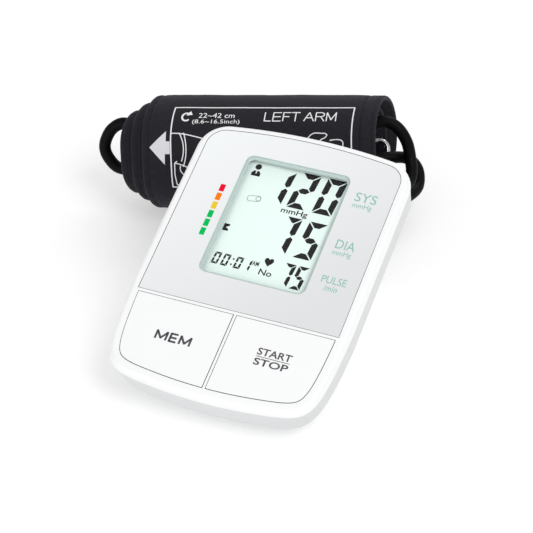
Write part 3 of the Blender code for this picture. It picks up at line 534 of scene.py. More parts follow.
def smooth_path(points, per_span):
    """Catmull-Rom points through the given ones."""
    knots = [Vector(point) for point in points]
    knots = [2 * knots[0] - knots[1], *knots, 2 * knots[-1] - knots[-2]]
    path = []
    for a, b, c, d in zip(knots, knots[1:], knots[2:], knots[3:]):
        for k in range(per_span):
            t = k / per_span
            bend = (2 * a - 5 * b + 4 * c - d) * t**2 + (3 * b - a - 3 * c + d) * t**3
            path.append(0.5 * (2 * b + (c - a) * t + bend))
    path.append(knots[-2])
    return path


def ring_rows(path, radius, steps):
    """Circles along a path, each turned only as much as the path bends."""
    rows = []
    side = None
    for i, point in enumerate(path):
        ahead = (path[min(i + 1, len(path) - 1)] - path[max(i - 1, 0)]).normalized()
        if side is None:
            side = ahead.orthogonal().normalized()
        side = (side - ahead * side.dot(ahead)).normalized()
        other = ahead.cross(side)
        rows.append([point + radius * (side * cos(a) + other * sin(a)) for a in full_turn(steps)])
    return rows


def pipe(path, radius, bore=0.0, steps=24):
    outer = ring_rows(path, radius, steps)
    if not bore:
        return loft(outer)
    return loft(outer + ring_rows(path, bore, steps)[::-1], closed_ends=False)


def merged(*shapes):
    """Several separate shapes as one bmesh."""
    whole = bmesh.new()
    for bm in shapes:
        mesh = bpy.data.meshes.new("work")
        bm.to_mesh(mesh)
        bm.free()
        whole.from_mesh(mesh)
        bpy.data.meshes.remove(mesh)
    return whole


# Console shells


def lip_rings():
    """The rounded edge of the upper case, from the parting line up to the flat lip."""
    angles = [pi / 2 * k / 10 for k in range(11)]
    return [at(outline(LIP_WIDTH * (1 - cos(a))), PARTING * (1 - sin(a))) for a in angles]


def build_upper_shell():
    shell = temp(loft(lip_rings()))
    opening = grown(WINDOW, 1.55)
    carve(
        shell,
        prism(outline(WALL), PARTING - 1, CEILING),
        prism(panel_outline(-0.25), POCKET_FLOOR, 1),
        prism(rounded_rectangle(*opening, WINDOW_CORNER + 1), -5, 1),
        prism(key_outline(-1, KEY_GAP), -5, 1),
        prism(key_outline(1, KEY_GAP), -5, 1),
    )
    eased(shell, 0.16, 2, 50)
    skins = ("white_abs", "seam_shade")
    choice = upright_walls(shell)
    piece("upper_shell", shell, skins, FACE, "console", ["upper_case"], choice=choice)


def base_ring(inset, z):
    """The under-body's outline at a height above the table, in the face's frame."""
    stretch = (BASE_REAR - BASE_FRONT) / (REAR - FRONT)
    ring = []
    for x, y in outline(0, BAND_SOFTNESS):
        along = (y - FRONT) * stretch
        half = BASE_HALF + (BASE_REAR_HALF - BASE_HALF) * along / (BASE_REAR - BASE_FRONT)
        ring.append((x * half / HALF_WIDTH, BASE_FRONT + along))
    return [TO_FACE.inverted() @ Vector((x, y, z)) for x, y in moved_in(ring, inset)]


def tub_rings(wall=0.0):
    """Rings of the lower shell from its rim down to its base, or those of its inside."""
    rings = [at(outline(0.25 + wall), PARTING + 1 if wall else PARTING - CASE_GAP)]
    curve = [(0.55, -10.0), (0.9, BAND_BOTTOM), (1.2, -17.4), (1.9, -18.3), (2.9, -19.3)]
    for inset, z in curve + [(4.2, -20.3), (6.6, -21.4)]:
        softness = BAND_SOFTNESS if z <= BAND_BOTTOM else BAND_SOFTNESS / 2
        rings.append(at(outline(inset + wall, softness), z + (wall / 2 if z < BAND_BOTTOM else 0)))
    edge = 4 if not wall else 1
    for angle in [pi / 2 * k / edge for k in range(edge + 1)]:
        z = BASE_Z + BASE_EDGE * (1 - sin(angle)) + wall
        rings.append(base_ring(BASE_EDGE * (1 - cos(angle)) + wall, z))
    return rings


def build_lower_shell():
    shell = temp(loft(tub_rings()))
    cavity = temp(loft(tub_rings(WALL)))
    kept = [in_face(box((BAY[0] - 3.8, BAY[2] - 8.0, -5), (BAY[1] + 3.8, BAY[3] + 4.2, BAY_TOP + 1.6)))]
    kept += [rod(BOSS_RADIUS, (x, y, BELOW), (x, y, BOSS_SPLIT - 0.3), 24) for x, y in SCREW_PLACES]
    carve(cavity, *kept)
    hollow = bmesh.new()
    hollow.from_mesh(cavity.data)
    bpy.data.objects.remove(cavity)
    carve(shell, hollow)
    bosses = [(x, SOCKET_FACE - 4.5, SOCKET_Z) for x in (AIR_JACK_X, DC_SOCKET_X)]
    weld(shell, *[in_face(rod(7.0, start, (start[0], SOCKET_FACE, SOCKET_Z))) for start in bosses])
    cuts = []
    for x, y in SCREW_PLACES:
        cuts.append(rod(SHAFT_HOLE, (x, y, BELOW), (x, y, BOSS_SPLIT + 1), 24))
        cuts.append(rod(HEAD_HOLE, (x, y, BELOW), (x, y, BOSS_SPLIT - 3.5), 32))
    cuts.append(in_face(box((BAY[0], BAY[2], 0), (BAY[1], BAY[3], BAY_TOP))))
    recess = rounded_rectangle(*grown(COVER, COVER_GAP), 1.0, 4)
    cuts.append(in_face(prism(recess, -1, BASE_Z + COVER_THICKNESS + COVER_GAP)))
    for x in TONGUES:
        cuts.append(in_face(box((x - 4.4, COVER[2] - 3.2, 1.9), (x + 4.4, BAY[2] + 0.5, 6.6))))
    for x, radius in ((AIR_JACK_X, 4.8), (DC_SOCKET_X, 4.1)):
        cuts.append(in_face(rod(radius, (x, 50, SOCKET_Z), (x, 70, SOCKET_Z))))
    carve(shell, *cuts)
    eased(shell, 0.15, 2, 55)
    piece("lower_shell", shell, "grey_abs", FACE, "console", ["lower_case"])


def build_cover():
    """The battery cover, drawn flat in upright coordinates, with its finger grip and its two tongues."""
    plate = temp(prism(rounded_rectangle(*COVER, 0.8, 4), BASE_Z, BASE_Z + COVER_THICKNESS))
    for x in TONGUES:
        weld(plate, box((x - 4, COVER[2] - 2.4, BASE_Z + 1.1), (x + 4, COVER[2] + 1, BASE_Z + 1.8)))
    grooves = []
    for k in range(5):
        y = COVER[3] - 6 - 2.0 * k
        grooves.append(rod(0.5, (-7, y, BASE_Z), (7, y, BASE_Z), 12))
    carve(plate, *grooves)
    eased(plate, 0.2, 2, 50)
    piece("battery_door", plate, "grey_abs", UPRIGHT, "battery_cover", ["battery_cover"])


def build_feet():
    for number, (x, y) in enumerate(FOOT_PLACES, 1):
        half_wide, half_long = FOOT_HALVES
        edge = rounded_rectangle(x - half_wide, x + half_wide, y - half_long, y + half_long, 2.1, 8)
        rings = [at(moved_in(edge, 0.25), 0), at(moved_in(edge, 0.06), 0.12), at(edge, 0.3), at(edge, 0.85)]
        nodes = [f"rubber_foot_{number}"]
        piece(f"foot_pad_{number}", loft(rings), "dark_rubber", UPRIGHT, "console", nodes)


def build_screws():
    """Pan heads with a cross recess at the bottom of their shafts."""
    for number, (x, y) in enumerate(SCREW_PLACES, 1):
        seat = BOSS_SPLIT - 3.7
        profile = [(0, 0), (1.2, 0), (2.1, 0.3), (2.6, 0.9), (2.6, 1.6), (1.0, 1.8), (1.0, 9.2), (0, 9.2)]
        screw = temp(stood(revolve(profile, 32), (x, y, seat - 1.9), (0, 0, 1)))
        cross = [((x - 1.4, y - 0.3), (x + 1.4, y + 0.3)), ((x - 0.3, y - 1.4), (x + 0.3, y + 1.4))]
        carve(screw, *[box((*low, seat - 3), (*high, seat - 0.9)) for low, high in cross])
        nodes = [f"case_screw_{number}"]
        piece(f"cross_screw_{number}", screw, "plated_steel", FACE, "console", nodes)


# Display


def build_face_panel():
    panel = temp(prism(panel_outline(), -1.75, PANEL_FACE))
    steps = 5
    rings = [at(rounded_rectangle(*grown(WINDOW, -BEVEL_WIDTH), WINDOW_CORNER - BEVEL_WIDTH), -2.5)]
    for k in range(steps + 1):
        angle = pi / 2 * k / steps
        inset = BEVEL_WIDTH * (1 - sin(angle))
        z = -1.6 + 1.5 * (1 - cos(angle))
        rings.append(at(rounded_rectangle(*grown(WINDOW, -inset), WINDOW_CORNER - inset), z))
    rings.append(at(rounded_rectangle(*WINDOW, WINDOW_CORNER), 1.0))
    carve(panel, loft(rings))
    left, right, front, rear = WINDOW
    choice = [2 * wall for wall in upright_walls(panel)]
    for face in panel.data.polygons:
        middle = face.center
        if left <= middle.x <= right and front <= middle.y <= rear and middle.z < PANEL_FACE - 0.0001:
            choice[face.index] = 1
    skins = ("panel_print_and_painted_reflection", "bevel_tint", "seam_shade")
    piece("face_panel", panel, skins, FACE, "console", ["display_panel"], choice=choice)


def segment_shapes(thick, width, height):
    """The seven bars of a digit as polygons with mitred ends, keyed a to g."""
    across = lambda points: [(width - x, y) for x, y in reversed(points)]
    down = lambda points: [(x, height - y) for x, y in reversed(points)]
    gap, half = thick * 0.12, height / 2
    top = [(gap, height), (thick + gap, height - thick)]
    top += across(top)
    upper = [(0, height - gap * 1.5), (0, half + gap + thick * 0.35), (thick * 0.5, half + gap)]
    upper += [(thick, half + thick * 0.5 + gap), (thick, height - thick - gap * 1.5)]
    middle = [(thick * 0.5 + gap, half), (thick + gap * 1.4, half - thick * 0.5)]
    middle += across(middle)
    middle += down(middle[1:3])
    bars = (top, across(upper), down(across(upper)), down(top), down(upper), upper, middle)
    return dict(zip("abcdefg", bars))


DIGIT_BARS = {"0": "abcdef", "1": "bc", "2": "abged", "5": "afgcd", "7": "abc"}
SLANT = tan(radians(4.5))


def digit(character, left, right, low, high, thick):
    """Polygons of one seven-bar digit that fills a box, leaning to the right."""
    height = high - low
    width = right - left - SLANT * height
    shapes = segment_shapes(thick, width, height)
    return [[(left + x + SLANT * y, low + y) for x, y in shapes[bar]] for bar in DIGIT_BARS[character]]


def raised(polygons, low, high):
    return merged(*[prism(polygon, low, high) for polygon in polygons])


def disc(x, y, radius, steps=24):
    return arc((x, y), radius, 0, 2 * pi, steps)[:-1]


def rectangle(left, right, low, high):
    return [(left, low), (right, low), (right, high), (left, high)]


def stroke(points, width):
    """A flat line of even width through points, as quads."""
    points = [Vector(point) for point in points]
    quads = []
    for first, last in zip(points, points[1:]):
        along = (last - first).normalized() * width / 2
        side = Vector((-along.y, along.x))
        start, end = first - along * 0.5, last + along * 0.5
        quads.append([tuple(corner) for corner in (start - side, end - side, end + side, start + side)])
    return quads


READINGS = [  # character, left, right, low, high, thickness of a bar
    ("1", -7.6, -1.3, 33.4, 52.6, 2.9),
    ("2", 0.0, 10.7, 33.3, 53.4, 2.9),
    ("0", 12.6, 23.8, 33.3, 53.4, 2.9),
    ("7", 1.3, 10.4, 8.1, 28.4, 2.9),
    ("5", 12.4, 22.9, 8.1, 28.4, 2.9),
    ("7", 10.2, 16.4, -8.1, 4.3, 1.75),
    ("5", 16.6, 22.8, -8.1, 4.3, 1.75),
]
CLOCK = [("0", -22.9, -19.2), ("0", -18.3, -14.6), ("0", -12.0, -8.3), ("1", -7.4, -3.9)]


def lcd_marks():
    """Dark segments: two large readings, a small one, the clock and three small symbols."""
    polygons = []
    for mark in READINGS + [(*mark, -4.7, 1.6, 0.95) for mark in CLOCK]:
        polygons += digit(*mark)
    for y in (-3.2, -0.2):
        polygons.append(disc(-13.0 + y * SLANT, y, 0.45, 12))
    x, y = -20.3, 48.4
    polygons.append(disc(x, y + 2.6, 1.55))
    shoulders = [(-2.1, -2.6), (2.1, -2.6), (2.1, -0.9), (1.2, 0.3), (-1.2, 0.3), (-2.1, -0.9)]
    polygons.append([(x + across * 1.05, y + up) for across, up in shoulders])
    polygons.append(heart(3.3, 2.6, 2.2))
    notch = [(-21.5, 14.3), (-23.1, 15.3), (-21.5, 16.3)]
    polygons.append([(-24.3, 13.4), (-21.5, 13.4), *notch, (-21.5, 17.2), (-24.3, 17.2)])
    return polygons


def heart(x, y, size):
    points = []
    for a in full_turn(32):
        across = 16 * sin(a) ** 3
        up = 13 * cos(a) - 5 * cos(2 * a) - 2 * cos(3 * a) - cos(4 * a)
        points.append((x - across * size / 16, y + up * size / 13.5))
    return points


def cuff_icon():
    """A small outlined tube, the sign for a cuff."""
    half, high = 3.2, 1.5
    centre, lean = Vector((-16.0, 33.6)), Matrix.Rotation(radians(9), 2)
    side, end = rounded_rectangle(-half, half, -high, high, 1.2, 5), disc(half - 1.1, 0, 1.2, 16)
    lines = []
    for edge, width in ((side, 0.32), (end, 0.3)):
        lines += stroke([centre + lean @ Vector(point) for point in edge + edge[:1]], width)
    return lines


def text_mesh(text, sides, weight=0.0):
    """Text as a flat mesh that exactly fills left, right, low, high."""
    curve = bpy.data.curves.new("text", "FONT")
    curve.body = text
    curve.offset = weight
    curve.resolution_u = 4
    obj = added("text", curve)
    graph = bpy.context.evaluated_depsgraph_get()
    bm = bmesh.new()
    bm.from_mesh(obj.evaluated_get(graph).to_mesh())
    bpy.data.objects.remove(obj)
    bmesh.ops.remove_doubles(bm, verts=bm.verts, dist=1e-5)
    xs, ys = [v.co.x for v in bm.verts], [v.co.y for v in bm.verts]
    left, right, low, high = sides
    for v in bm.verts:
        v.co.x = left + (v.co.x - min(xs)) / (max(xs) - min(xs)) * (right - left)
        v.co.y = low + (v.co.y - min(ys)) / (max(ys) - min(ys)) * (high - low)
    return bm


def thickened(bm, low, high):
    """Gives a flat mesh thickness, from low to high."""
    for v in bm.verts:
        v.co.z = low
    made = bmesh.ops.extrude_face_region(bm, geom=bm.faces[:])
    for v in made["geom"]:
        if isinstance(v, bmesh.types.BMVert):
            v.co.z = high
    return bm


def printed(name, words, skin, low, body, weight=0.0):
    """Lettering on a flat face: words is a list of (text, (left, right, low, high))."""
    flat = merged(*[text_mesh(text, sides, weight=weight) for text, sides in words])
    piece(name, thickened(flat, low, low + INK), skin, FACE, body, sharp=60)


PANEL_FACE = -0.1
LCD_WORDS = [
    ("mmHg", (-1.4, 11.6, 28.9, 32.6)),
    ("No", (0.6, 6.8, -4.9, -1.7)),
    ("AM", (-3.9, -0.7, -1.0, 1.4)),
]
CAPTIONS = [
    ("SYS", (30.8, 41.2, 42.2, 47.1)),
    ("mmHg", (31.0, 40.2, 37.9, 41.3)),
    ("DIA", (30.9, 40.0, 15.6, 20.4)),
    ("mmHg", (30.8, 39.6, 11.3, 14.7)),
    ("PULSE", (30.9, 42.6, -3.0, 0.8)),
    ("/min", (33.3, 39.6, -7.0, -3.8)),
]
LEVELS = ["red", "orange", "yellow", "green", "green", "green"]
LEVEL_TOPS = [35.145, 30.085, 25.025, 20.075, 15.125, 10.175]


def build_display():
    print_foot = LCD_FACE + 0.02
    marks = raised(lcd_marks(), print_foot, LCD_FACE + 0.08)
    piece("lcd_marks", marks, "lcd_ink", FACE, "console")
    icon = raised(cuff_icon(), print_foot, LCD_FACE + 0.06)
    piece("lcd_cuff_mark", icon, "faint_ink", FACE, "console")
    printed("lcd_words", LCD_WORDS, "lcd_ink", print_foot, "console", 0.012)
    user = prism(rectangle(-20.55, -20.05, 47.2, 48.7), LCD_FACE + 0.09, LCD_FACE + 0.11)
    piece("lcd_user_number", user, "lcd_back", FACE, "console")
    for number, (colour, top) in enumerate(zip(LEVELS, LEVEL_TOPS), 1):
        bar = prism(rectangle(-32.5, -30.0, top - 4.0, top), PANEL_FACE, PANEL_FACE + INK)
        piece(f"level_bar_{number}", bar, f"bar_{colour}", FACE, "console")
    printed("panel_captions", CAPTIONS, "mint_ink", PANEL_FACE, "console")


# Buttons


def build_button(name, side):
    """A hollow cap with a flange that holds it in the case and a post that presses its switch."""
    cap = temp(prism(key_outline(side), FLANGE_TOP, KEY_TOP))
    weld(cap, prism(key_outline(side, 0.25), FLANGE_FOOT, FLANGE_TOP))
    carve(cap, prism(key_outline(side, -2.2), FLANGE_FOOT - 0.9, -1.9))
    x, y = side * POST_X, POST_Y
    weld(cap, rod(2.6, (x, y, POST_FOOT), (x, y, -1.5), 24))
    eased(cap, 0.32, 3, 50)
    body = f"{name}_button"
    skins = ("white_abs", "seam_shade")
    piece(f"{name}_key", cap, skins, FACE, body, [body], choice=upright_walls(cap))
    return body


BOWL = [(0, 0), (0, 1), (0.65, 1), (0.92, 0.9), (0.98, 0.74), (0.9, 0.58), (0.65, 0.5), (0, 0.5)]
LETTERS = {
    "A": [[(0, 0), (0.5, 1), (1, 0)], [(0.2, 0.36), (0.8, 0.36)]],
    "E": [[(1, 1), (0, 1), (0, 0), (1, 0)], [(0, 0.5), (0.95, 0.5)]],
    "F": [[(1, 1), (0, 1), (0, 0)], [(0, 0.5), (0.85, 0.5)]],
    "L": [[(0, 1), (0, 0), (1, 0)]],
    "M": [[(0, 0), (0, 1), (0.5, 0.13), (1, 1), (1, 0)]],
    "R": [BOWL, [(0.55, 0.5), (1, 0)]],
    "T": [[(0, 1), (1, 1)], [(0.5, 1), (0.5, 0)]],
}


def letter_lines(letter, left, right, low, high):
    """The centre lines of a plain capital that fills a box."""
    place = lambda across, up: (left + (right - left) * across, low + (high - low) * up)
    return [[place(*point) for point in line] for line in LETTERS[letter]]


def build_buttons():
    body = build_button("mem", -1)
    strokes = []
    for letter, left, right in (("M", -31.2, -25.2), ("E", -24.4, -20.4), ("M", -19.6, -13.8)):
        for line in letter_lines(letter, left + 0.5, right - 0.5, -50.5, -46.6):
            strokes += stroke(line, 1.0)
    lettering = raised(strokes, KEY_TOP, KEY_TOP + INK)
    piece("mem_lettering", lettering, "key_ink", FACE, body, sharp=60)
    body = build_button("start_stop", 1)
    start = [("START", (16.5, 32.5, -45.9, -42.3)), ("STOP", (16.5, 32.5, -51.0, -47.5))]
    printed("start_stop_lettering", start, "key_ink", KEY_TOP, body, 0.018)
    rule = prism(rectangle(16.6, 32.4, -46.85, -46.55), KEY_TOP, KEY_TOP + INK)
    piece("start_stop_rule", rule, "key_ink", FACE, body)


# Sockets, cells and plug


def build_sockets():
    jack = [(3.1, 0.4), (3.5, 0), (5.4, 0), (5.8, 0.4), (5.8, 1.6), (4.5, 1.6)]
    jack += [(4.5, 9.0), (2.4, 9.0), (2.4, 14.5), (1.2, 14.5), (1.2, 10.0), (3.1, 8.0)]
    collar = stood(revolve(jack), (AIR_JACK_X, SOCKET_FACE + 1.9, SOCKET_Z), (0, -1, 0))
    piece("jack_collar", collar, "black_abs", UPRIGHT, "console", ["air_jack"])
    barrel = [(2.6, 0.3), (2.9, 0), (3.5, 0), (3.8, 0.3), (3.8, 13.0), (0.9, 13.0), (0.9, 10.4), (2.6, 11.0)]
    socket = stood(revolve(barrel), (DC_SOCKET_X, SOCKET_FACE - 0.4, SOCKET_Z), (0, -1, 0))
    piece("power_socket", socket, "black_abs", UPRIGHT, "console", ["dc_socket"])


def build_cells():
    middle = (BAY[2] + BAY[3]) / 2
    for number in range(1, 5):
        y = middle + (number - 2.5) * CELL_PITCH
        pole = 1 if number % 2 else -1
        start = -CELL_LENGTH / 2 + pole * 2.0 + (CELL_LENGTH if pole < 0 else 0)
        r = CELL_RADIUS
        can = [(0, 0), (r - 1.0, 0), (r - 0.3, 0.3), (r, 1.0), (r, 47.2), (r - 0.3, 48.0), (r - 1.0, 48.4)]
        can += [(2.7, 48.4), (2.7, 49.2), (2.4, CELL_LENGTH), (0, CELL_LENGTH)]
        shape = temp(stood(revolve(can), (start, y, CELL_HEIGHT), (pole, 0, 0)))
        near = start + pole * 13.0
        faces = shape.data.polygons
        banded = [int((face.center.x - near) * pole > 0 and face.normal.x**2 < 0.3) for face in faces]
        nodes = [f"aa_cell_{number}"]
        skins = ("cell_band", "cell_sleeve")
        piece(f"cell_{number}", shape, skins, UPRIGHT, "console", nodes, choice=banded)
        tip, seat = start - pole * 0.8, -pole * (BAY[1] - 1.5)
        coil = []
        for k in range(73):
            share = k / 72
            radius, angle = 2.6 + 2.2 * share, 6 * pi * share
            x = tip + (seat - tip) * share
            coil.append(Vector((x, y + radius * cos(angle), CELL_HEIGHT + radius * sin(angle))))
        spring = pipe(coil, 0.4, steps=10)
        nodes = [f"battery_spring_{number}"]
        piece(f"coil_spring_{number}", spring, "plated_steel", UPRIGHT, "console", nodes)


RIB = [(5.6, 0), (5.35, 0.25), (4.9, 0.4), (4.9, 1.1), (5.35, 1.25), (5.6, 1.5)]


def build_plug():
    """A ribbed grip with its nozzle in the jack and its barb in the hose."""
    start = SOCKET_FACE - 4.0
    grip, end = SOCKET_FACE + 3.2 - start, PLUG_END - start
    profile = [(1.1, 0), (2.5, 0), (2.8, 0.2), (3.0, 0.6), (3.0, grip), (5.2, grip), (5.6, grip + 0.4)]
    for k in range(4):
        profile += [(radius, 10.5 + 2.4 * k + along) for radius, along in RIB]
    profile += [(5.6, end - 1.6), (5.3, end - 0.9), (4.6, end - 0.2), (4.2, end)]
    profile += [(1.45, end), (1.45, end + 5), (1.1, end + 5)]
    body = stood(revolve(profile), (AIR_JACK_X, start, SOCKET_Z), (0, 1, 0))
    piece("plug_grip", body, "black_abs", UPRIGHT, "cuff_set", ["air_plug"], sharp=50)


# Cuff


def slide(turn):
    """How far the strip has slid along the roll: a steady drift, and a lean over the top."""
    past = (LEAN_FROM - CUFF_START + 360 * turn) % 360
    leaning = LEAN * sin(pi * past / LEAN_SPAN) ** 2 if past < LEAN_SPAN else 0.0
    return leaning - CUFF_DRIFT * turn


def hump(distance, width):
    """1 at no distance, falling smoothly to nothing over about twice the width."""
    return 2.718 ** (-((distance / width) ** 2))


def edge_share(x):
    """Half-thickness of the cloth across its width, as a share: thin hems, sewn lines and a fuller middle."""
    share = 1.0
    for edge, hem in ((x - CUFF_LEFT, HEM_LEFT), (CUFF_RIGHT - x, HEM_RIGHT)):
        if edge < EDGE_ROUND:
            share *= sqrt(max(0.0, 1 - (1 - edge / EDGE_ROUND) ** 2))
        share *= 0.84 + 0.16 * min(1.0, max(0.0, (edge - hem) / 5.0))
        share *= 1 - 0.30 * hump(edge - hem, 0.55)
        share *= 1 - 0.12 * hump(edge - 2.2, 0.35)
    return share


def creases(x, turn):
    """Small waves in the cloth: slow ones all over, and puckers along the sewn lines."""
    along = turn * 150.0
    slow = 0.30 * noise.noise(Vector((x * 0.045, along * 0.05, 3.0)))
    fine = 0.10 * noise.noise(Vector((x * 0.22, along * 0.20, 9.0)))
    hem = min(abs(x - CUFF_LEFT - HEM_LEFT), abs(CUFF_RIGHT - HEM_RIGHT - x))
    ripple = sin(along * 1.15 + 2 * noise.noise(Vector((0, along * 0.1, 0))))
    return slow + fine + 0.13 * ripple * hump(hem, 3.0)


def cloth_point(x, turn, side, lift=0.0, fullness=1.0):
    """A point of the rolled cloth in the roll's frame. Side is +1 outside, -1 inside, and x is measured
    across the strip before its sideways drift."""
    half = CUFF_THICKNESS / 2 * edge_share(x) * fullness
    depth = CUFF_THICKNESS / 2 - side * half - creases(x, turn) * 0.8
    radius = CUFF_RADIUS - CUFF_PITCH * turn - depth + lift
    a = radians(CUFF_START - 360 * turn)
    return Vector((x + slide(turn), radius * cos(a), radius * sin(a)))


def cloth_stations():
    """Positions across the strip, closer together at the edges and the sewn lines."""
    edges = [EDGE_ROUND * (1 - cos(pi / 2 * k / 5)) for k in range(6)]
    near = edges + [1.7, 2.0, 2.2, 2.4, 2.7]
    left = near + [3.0, 3.2, 3.4, 3.8, 4.5, 6.0]
    right = near + [4.0, 5.5, 7.0, 7.7, 8.0, 8.2, 8.4, 8.8, 9.6, 11.0]
    inner_left, inner_right = CUFF_LEFT + 8.0, CUFF_RIGHT - 13.0
    middle = [inner_left + (inner_right - inner_left) * k / 30 for k in range(31)]
    return [CUFF_LEFT + e for e in left] + middle + [CUFF_RIGHT - e for e in reversed(right)]


def arc_length(turn):
    """Distance along the outer face from the free end."""
    return 2 * pi * (CUFF_RADIUS * turn - CUFF_PITCH * turn**2 / 2)


def build_cloth():
    stations = cloth_stations()
    per_turn = 84
    count = round(CUFF_TURNS * per_turn)
    end_share = [sqrt(1 - (1 - k / 4) ** 2) for k in range(1, 5)]
    turns = [0.0012 * k for k in range(1, 5)] + [CUFF_TURNS * k / count for k in range(1, count)]
    turns += [CUFF_TURNS - 0.0012 * k for k in range(4, 0, -1)]
    bm = bmesh.new()
    rows, places = [], {}
    for index, turn in enumerate(turns):
        rank = min(index, len(turns) - 1 - index)
        fullness = end_share[rank] * 0.8 if rank < 4 else min(1.0, 0.8 + 0.03 * (rank - 4))
        loop = [(x, 1) for x in stations] + [(x, -1) for x in reversed(stations[1:-1])]
        row = []
        for x, side in loop:
            vert = bm.verts.new(cloth_point(x, turn, side, fullness=fullness))
            places[vert] = (x if side > 0 else 2 * CUFF_RIGHT - x, arc_length(turn))
            row.append(vert)
        rows.append(row)
    bridge(bm, rows)
    set_uv(bm, places.get)
    piece("cuff_cloth", bm, "cuff_nylon", ROLL, "cuff_set", ["cuff_wrap"], sharp=80)


def on_cloth(name, shapes, skin):
    """Lays flat shapes, drawn as (x, angle in degrees) meshes, on the outside of the roll."""
    bm = merged(*shapes)
    for normal, step in ((Vector((0, 1, 0)), 2.5), (Vector((1, 0, 0)), 2.0)):
        across = [v.co.dot(normal) for v in bm.verts]
        line, high = min(across), max(across)
        while line < high:
            cut = bm.verts[:] + bm.edges[:] + bm.faces[:]
            bmesh.ops.bisect_plane(bm, geom=cut, plane_co=normal * line, plane_no=normal)
            line += step
    bmesh.ops.triangulate(bm, faces=bm.faces)
    for face in bm.faces:
        face.normal_update()
        if face.normal.z < 0:
            face.normal_flip()
    made = bmesh.ops.extrude_face_region(bm, geom=bm.faces[:])
    upper = {v for v in made["geom"] if isinstance(v, bmesh.types.BMVert)}
    turn_at = lambda v: (CUFF_START - v.co.y) % 360 / 360
    set_uv(bm, lambda v: (v.co.x, arc_length(turn_at(v))))
    for v in bm.verts:
        v.co = cloth_point(v.co.x, turn_at(v), 1, PRINT_TOP if v in upper else PRINT_FOOT)
    piece(name, bm, skin, ROLL, "cuff_set", sharp=60)


def flat_polygon(points):
    bm = bmesh.new()
    bm.faces.new([bm.verts.new((x, y, 0)) for x, y in points])
    return bm


def flat_line(points, width):
    """A line over the cloth: points are (x, angle), and width is in millimetres."""
    per_degree = 2 * pi * CUFF_RADIUS / 360 * 0.93
    measured = [Vector((x, angle * per_degree)) for x, angle in points]
    quads = stroke(measured, width)
    return merged(*[flat_polygon([(x, y / per_degree) for x, y in quad]) for quad in quads])


def flat_text(text, left, right, top, bottom):
    """Text over the cloth between two angles; the angle grows downwards."""
    bm = text_mesh(text, (left, right, -bottom, -top))
    for v in bm.verts:
        v.co.y = -v.co.y
    return bm


def curved(points, steps=14):
    ends = [Vector(point).to_3d() for point in points]
    return [(point.x, point.y) for point in interpolate_bezier(*ends, steps)]


def build_print():
    left, right, top, bottom = -39.2, 50.6, 100.1, 186.8
    corners = [(left, top), (right, top), (right, bottom), (left, bottom), (left, top)]
    lines = [flat_line(corners, 0.62)]
    upper_arm = curved([(left, 131.4), (-31.0, 130.2), (-25.0, 137.5), (4.0, 149.0)])
    lower_arm = curved([(-36.8, 184.2), (-18.0, 183.5), (0.0, 176.0), (24.0, 178.0)])
    thumb = curved([(28.0, 139.0), (31.5, 127.5), (33.0, 131.8), (37.4, 131.2)])
    thumb += curved([(38.4, 132.6), (38.4, 136.0), (36.0, 136.5), (35.0, 138.5)], 6)
    fingers = curved([(40.0, 138.4), (44.0, 136.6), (46.8, 137.4), (46.4, 142.0)])
    palm = curved([(46.4, 142.0), (47.0, 158.0), (36.0, 176.0), (24.0, 178.0)])
    band = curved([(-35.2, 130.9), (-32.2, 140.0), (-32.4, 150.0), (-34.0, 158.8)])
    band_edge = curved([(-32.9, 131.0), (-31.0, 141.0), (-31.2, 154.0), (-33.2, 164.2)])
    tube = [(-36.4, 159.0), (-37.5, 161.2), (-37.6, 172.0), (-36.9, 184.0)]
    tube_top = curved([(-37.4, 161.0), (-34.0, 161.6), (-31.0, 165.8), (-27.0, 168.5)])
    tube_loop = curved([(-34.6, 163.6), (-35.4, 169.0), (-34.0, 172.4), (-31.0, 174.6)])
    drawing = (upper_arm, lower_arm, thumb, fingers, palm, band, band_edge, tube, tube_top, tube_loop)
    lines += [flat_line(points, 0.5) for points in drawing]
    sweep = [radians(-40 - 270 * k / 20) for k in range(21)]
    turn_sign = [(-32.6 + 2.0 * cos(a), 112.9 + 4.59 * sin(a)) for a in sweep]
    lines.append(flat_line(turn_sign, 0.9))
    head = turn_sign[0]
    corners = [(-1.6, 1.2), (1.5, 0.4), (0.2, -4.5)]
    lines.append(flat_polygon([(head[0] + x, head[1] + angle) for x, angle in corners]))
    letters = [("L", 6.6, 9.7), ("E", 10.8, 14.6), ("F", 15.8, 19.3), ("T", 20.0, 23.9), ("A", 26.3, 31.1)]
    for letter, first, last in letters + [("R", 32.1, 36.3), ("M", 37.5, 42.1)]:
        lines += [flat_line(points, 0.54) for points in letter_lines(letter, first, last, 117.6, 107.1)]
    lines.append(flat_text("22~42 cm", -26.5, -8.5, 108.0, 114.1))
    lines.append(flat_text("(8.6~16.5inch)", -29.2, -5.6, 116.0, 122.0))
    on_cloth("cuff_print", lines, "white_print")
    arrow = [(-49.8, 145.5), (-41.6, 129.1), (-41.6, 139.5), (-39.7, 139.5)]
    arrow += [(-39.7, 152.0), (-42.2, 152.0), (-42.4, 162.6)]
    on_cloth("cuff_arrow", [flat_polygon(arrow)], "grey_print")


def stitch(start, end, outward):
    """One visible stitch: a short thread that dips into the cloth at both ends."""
    shares = [k / 4 for k in range(5)]
    path = [start.lerp(end, share) + outward * (0.10 * sin(pi * share) - 0.02) for share in shares]
    rows = ring_rows(path, THREAD_RADIUS, 6)
    for index in (0, 4):
        rows[index] = [path[index] + (point - path[index]) * 0.4 for point in rows[index]]
    return rows


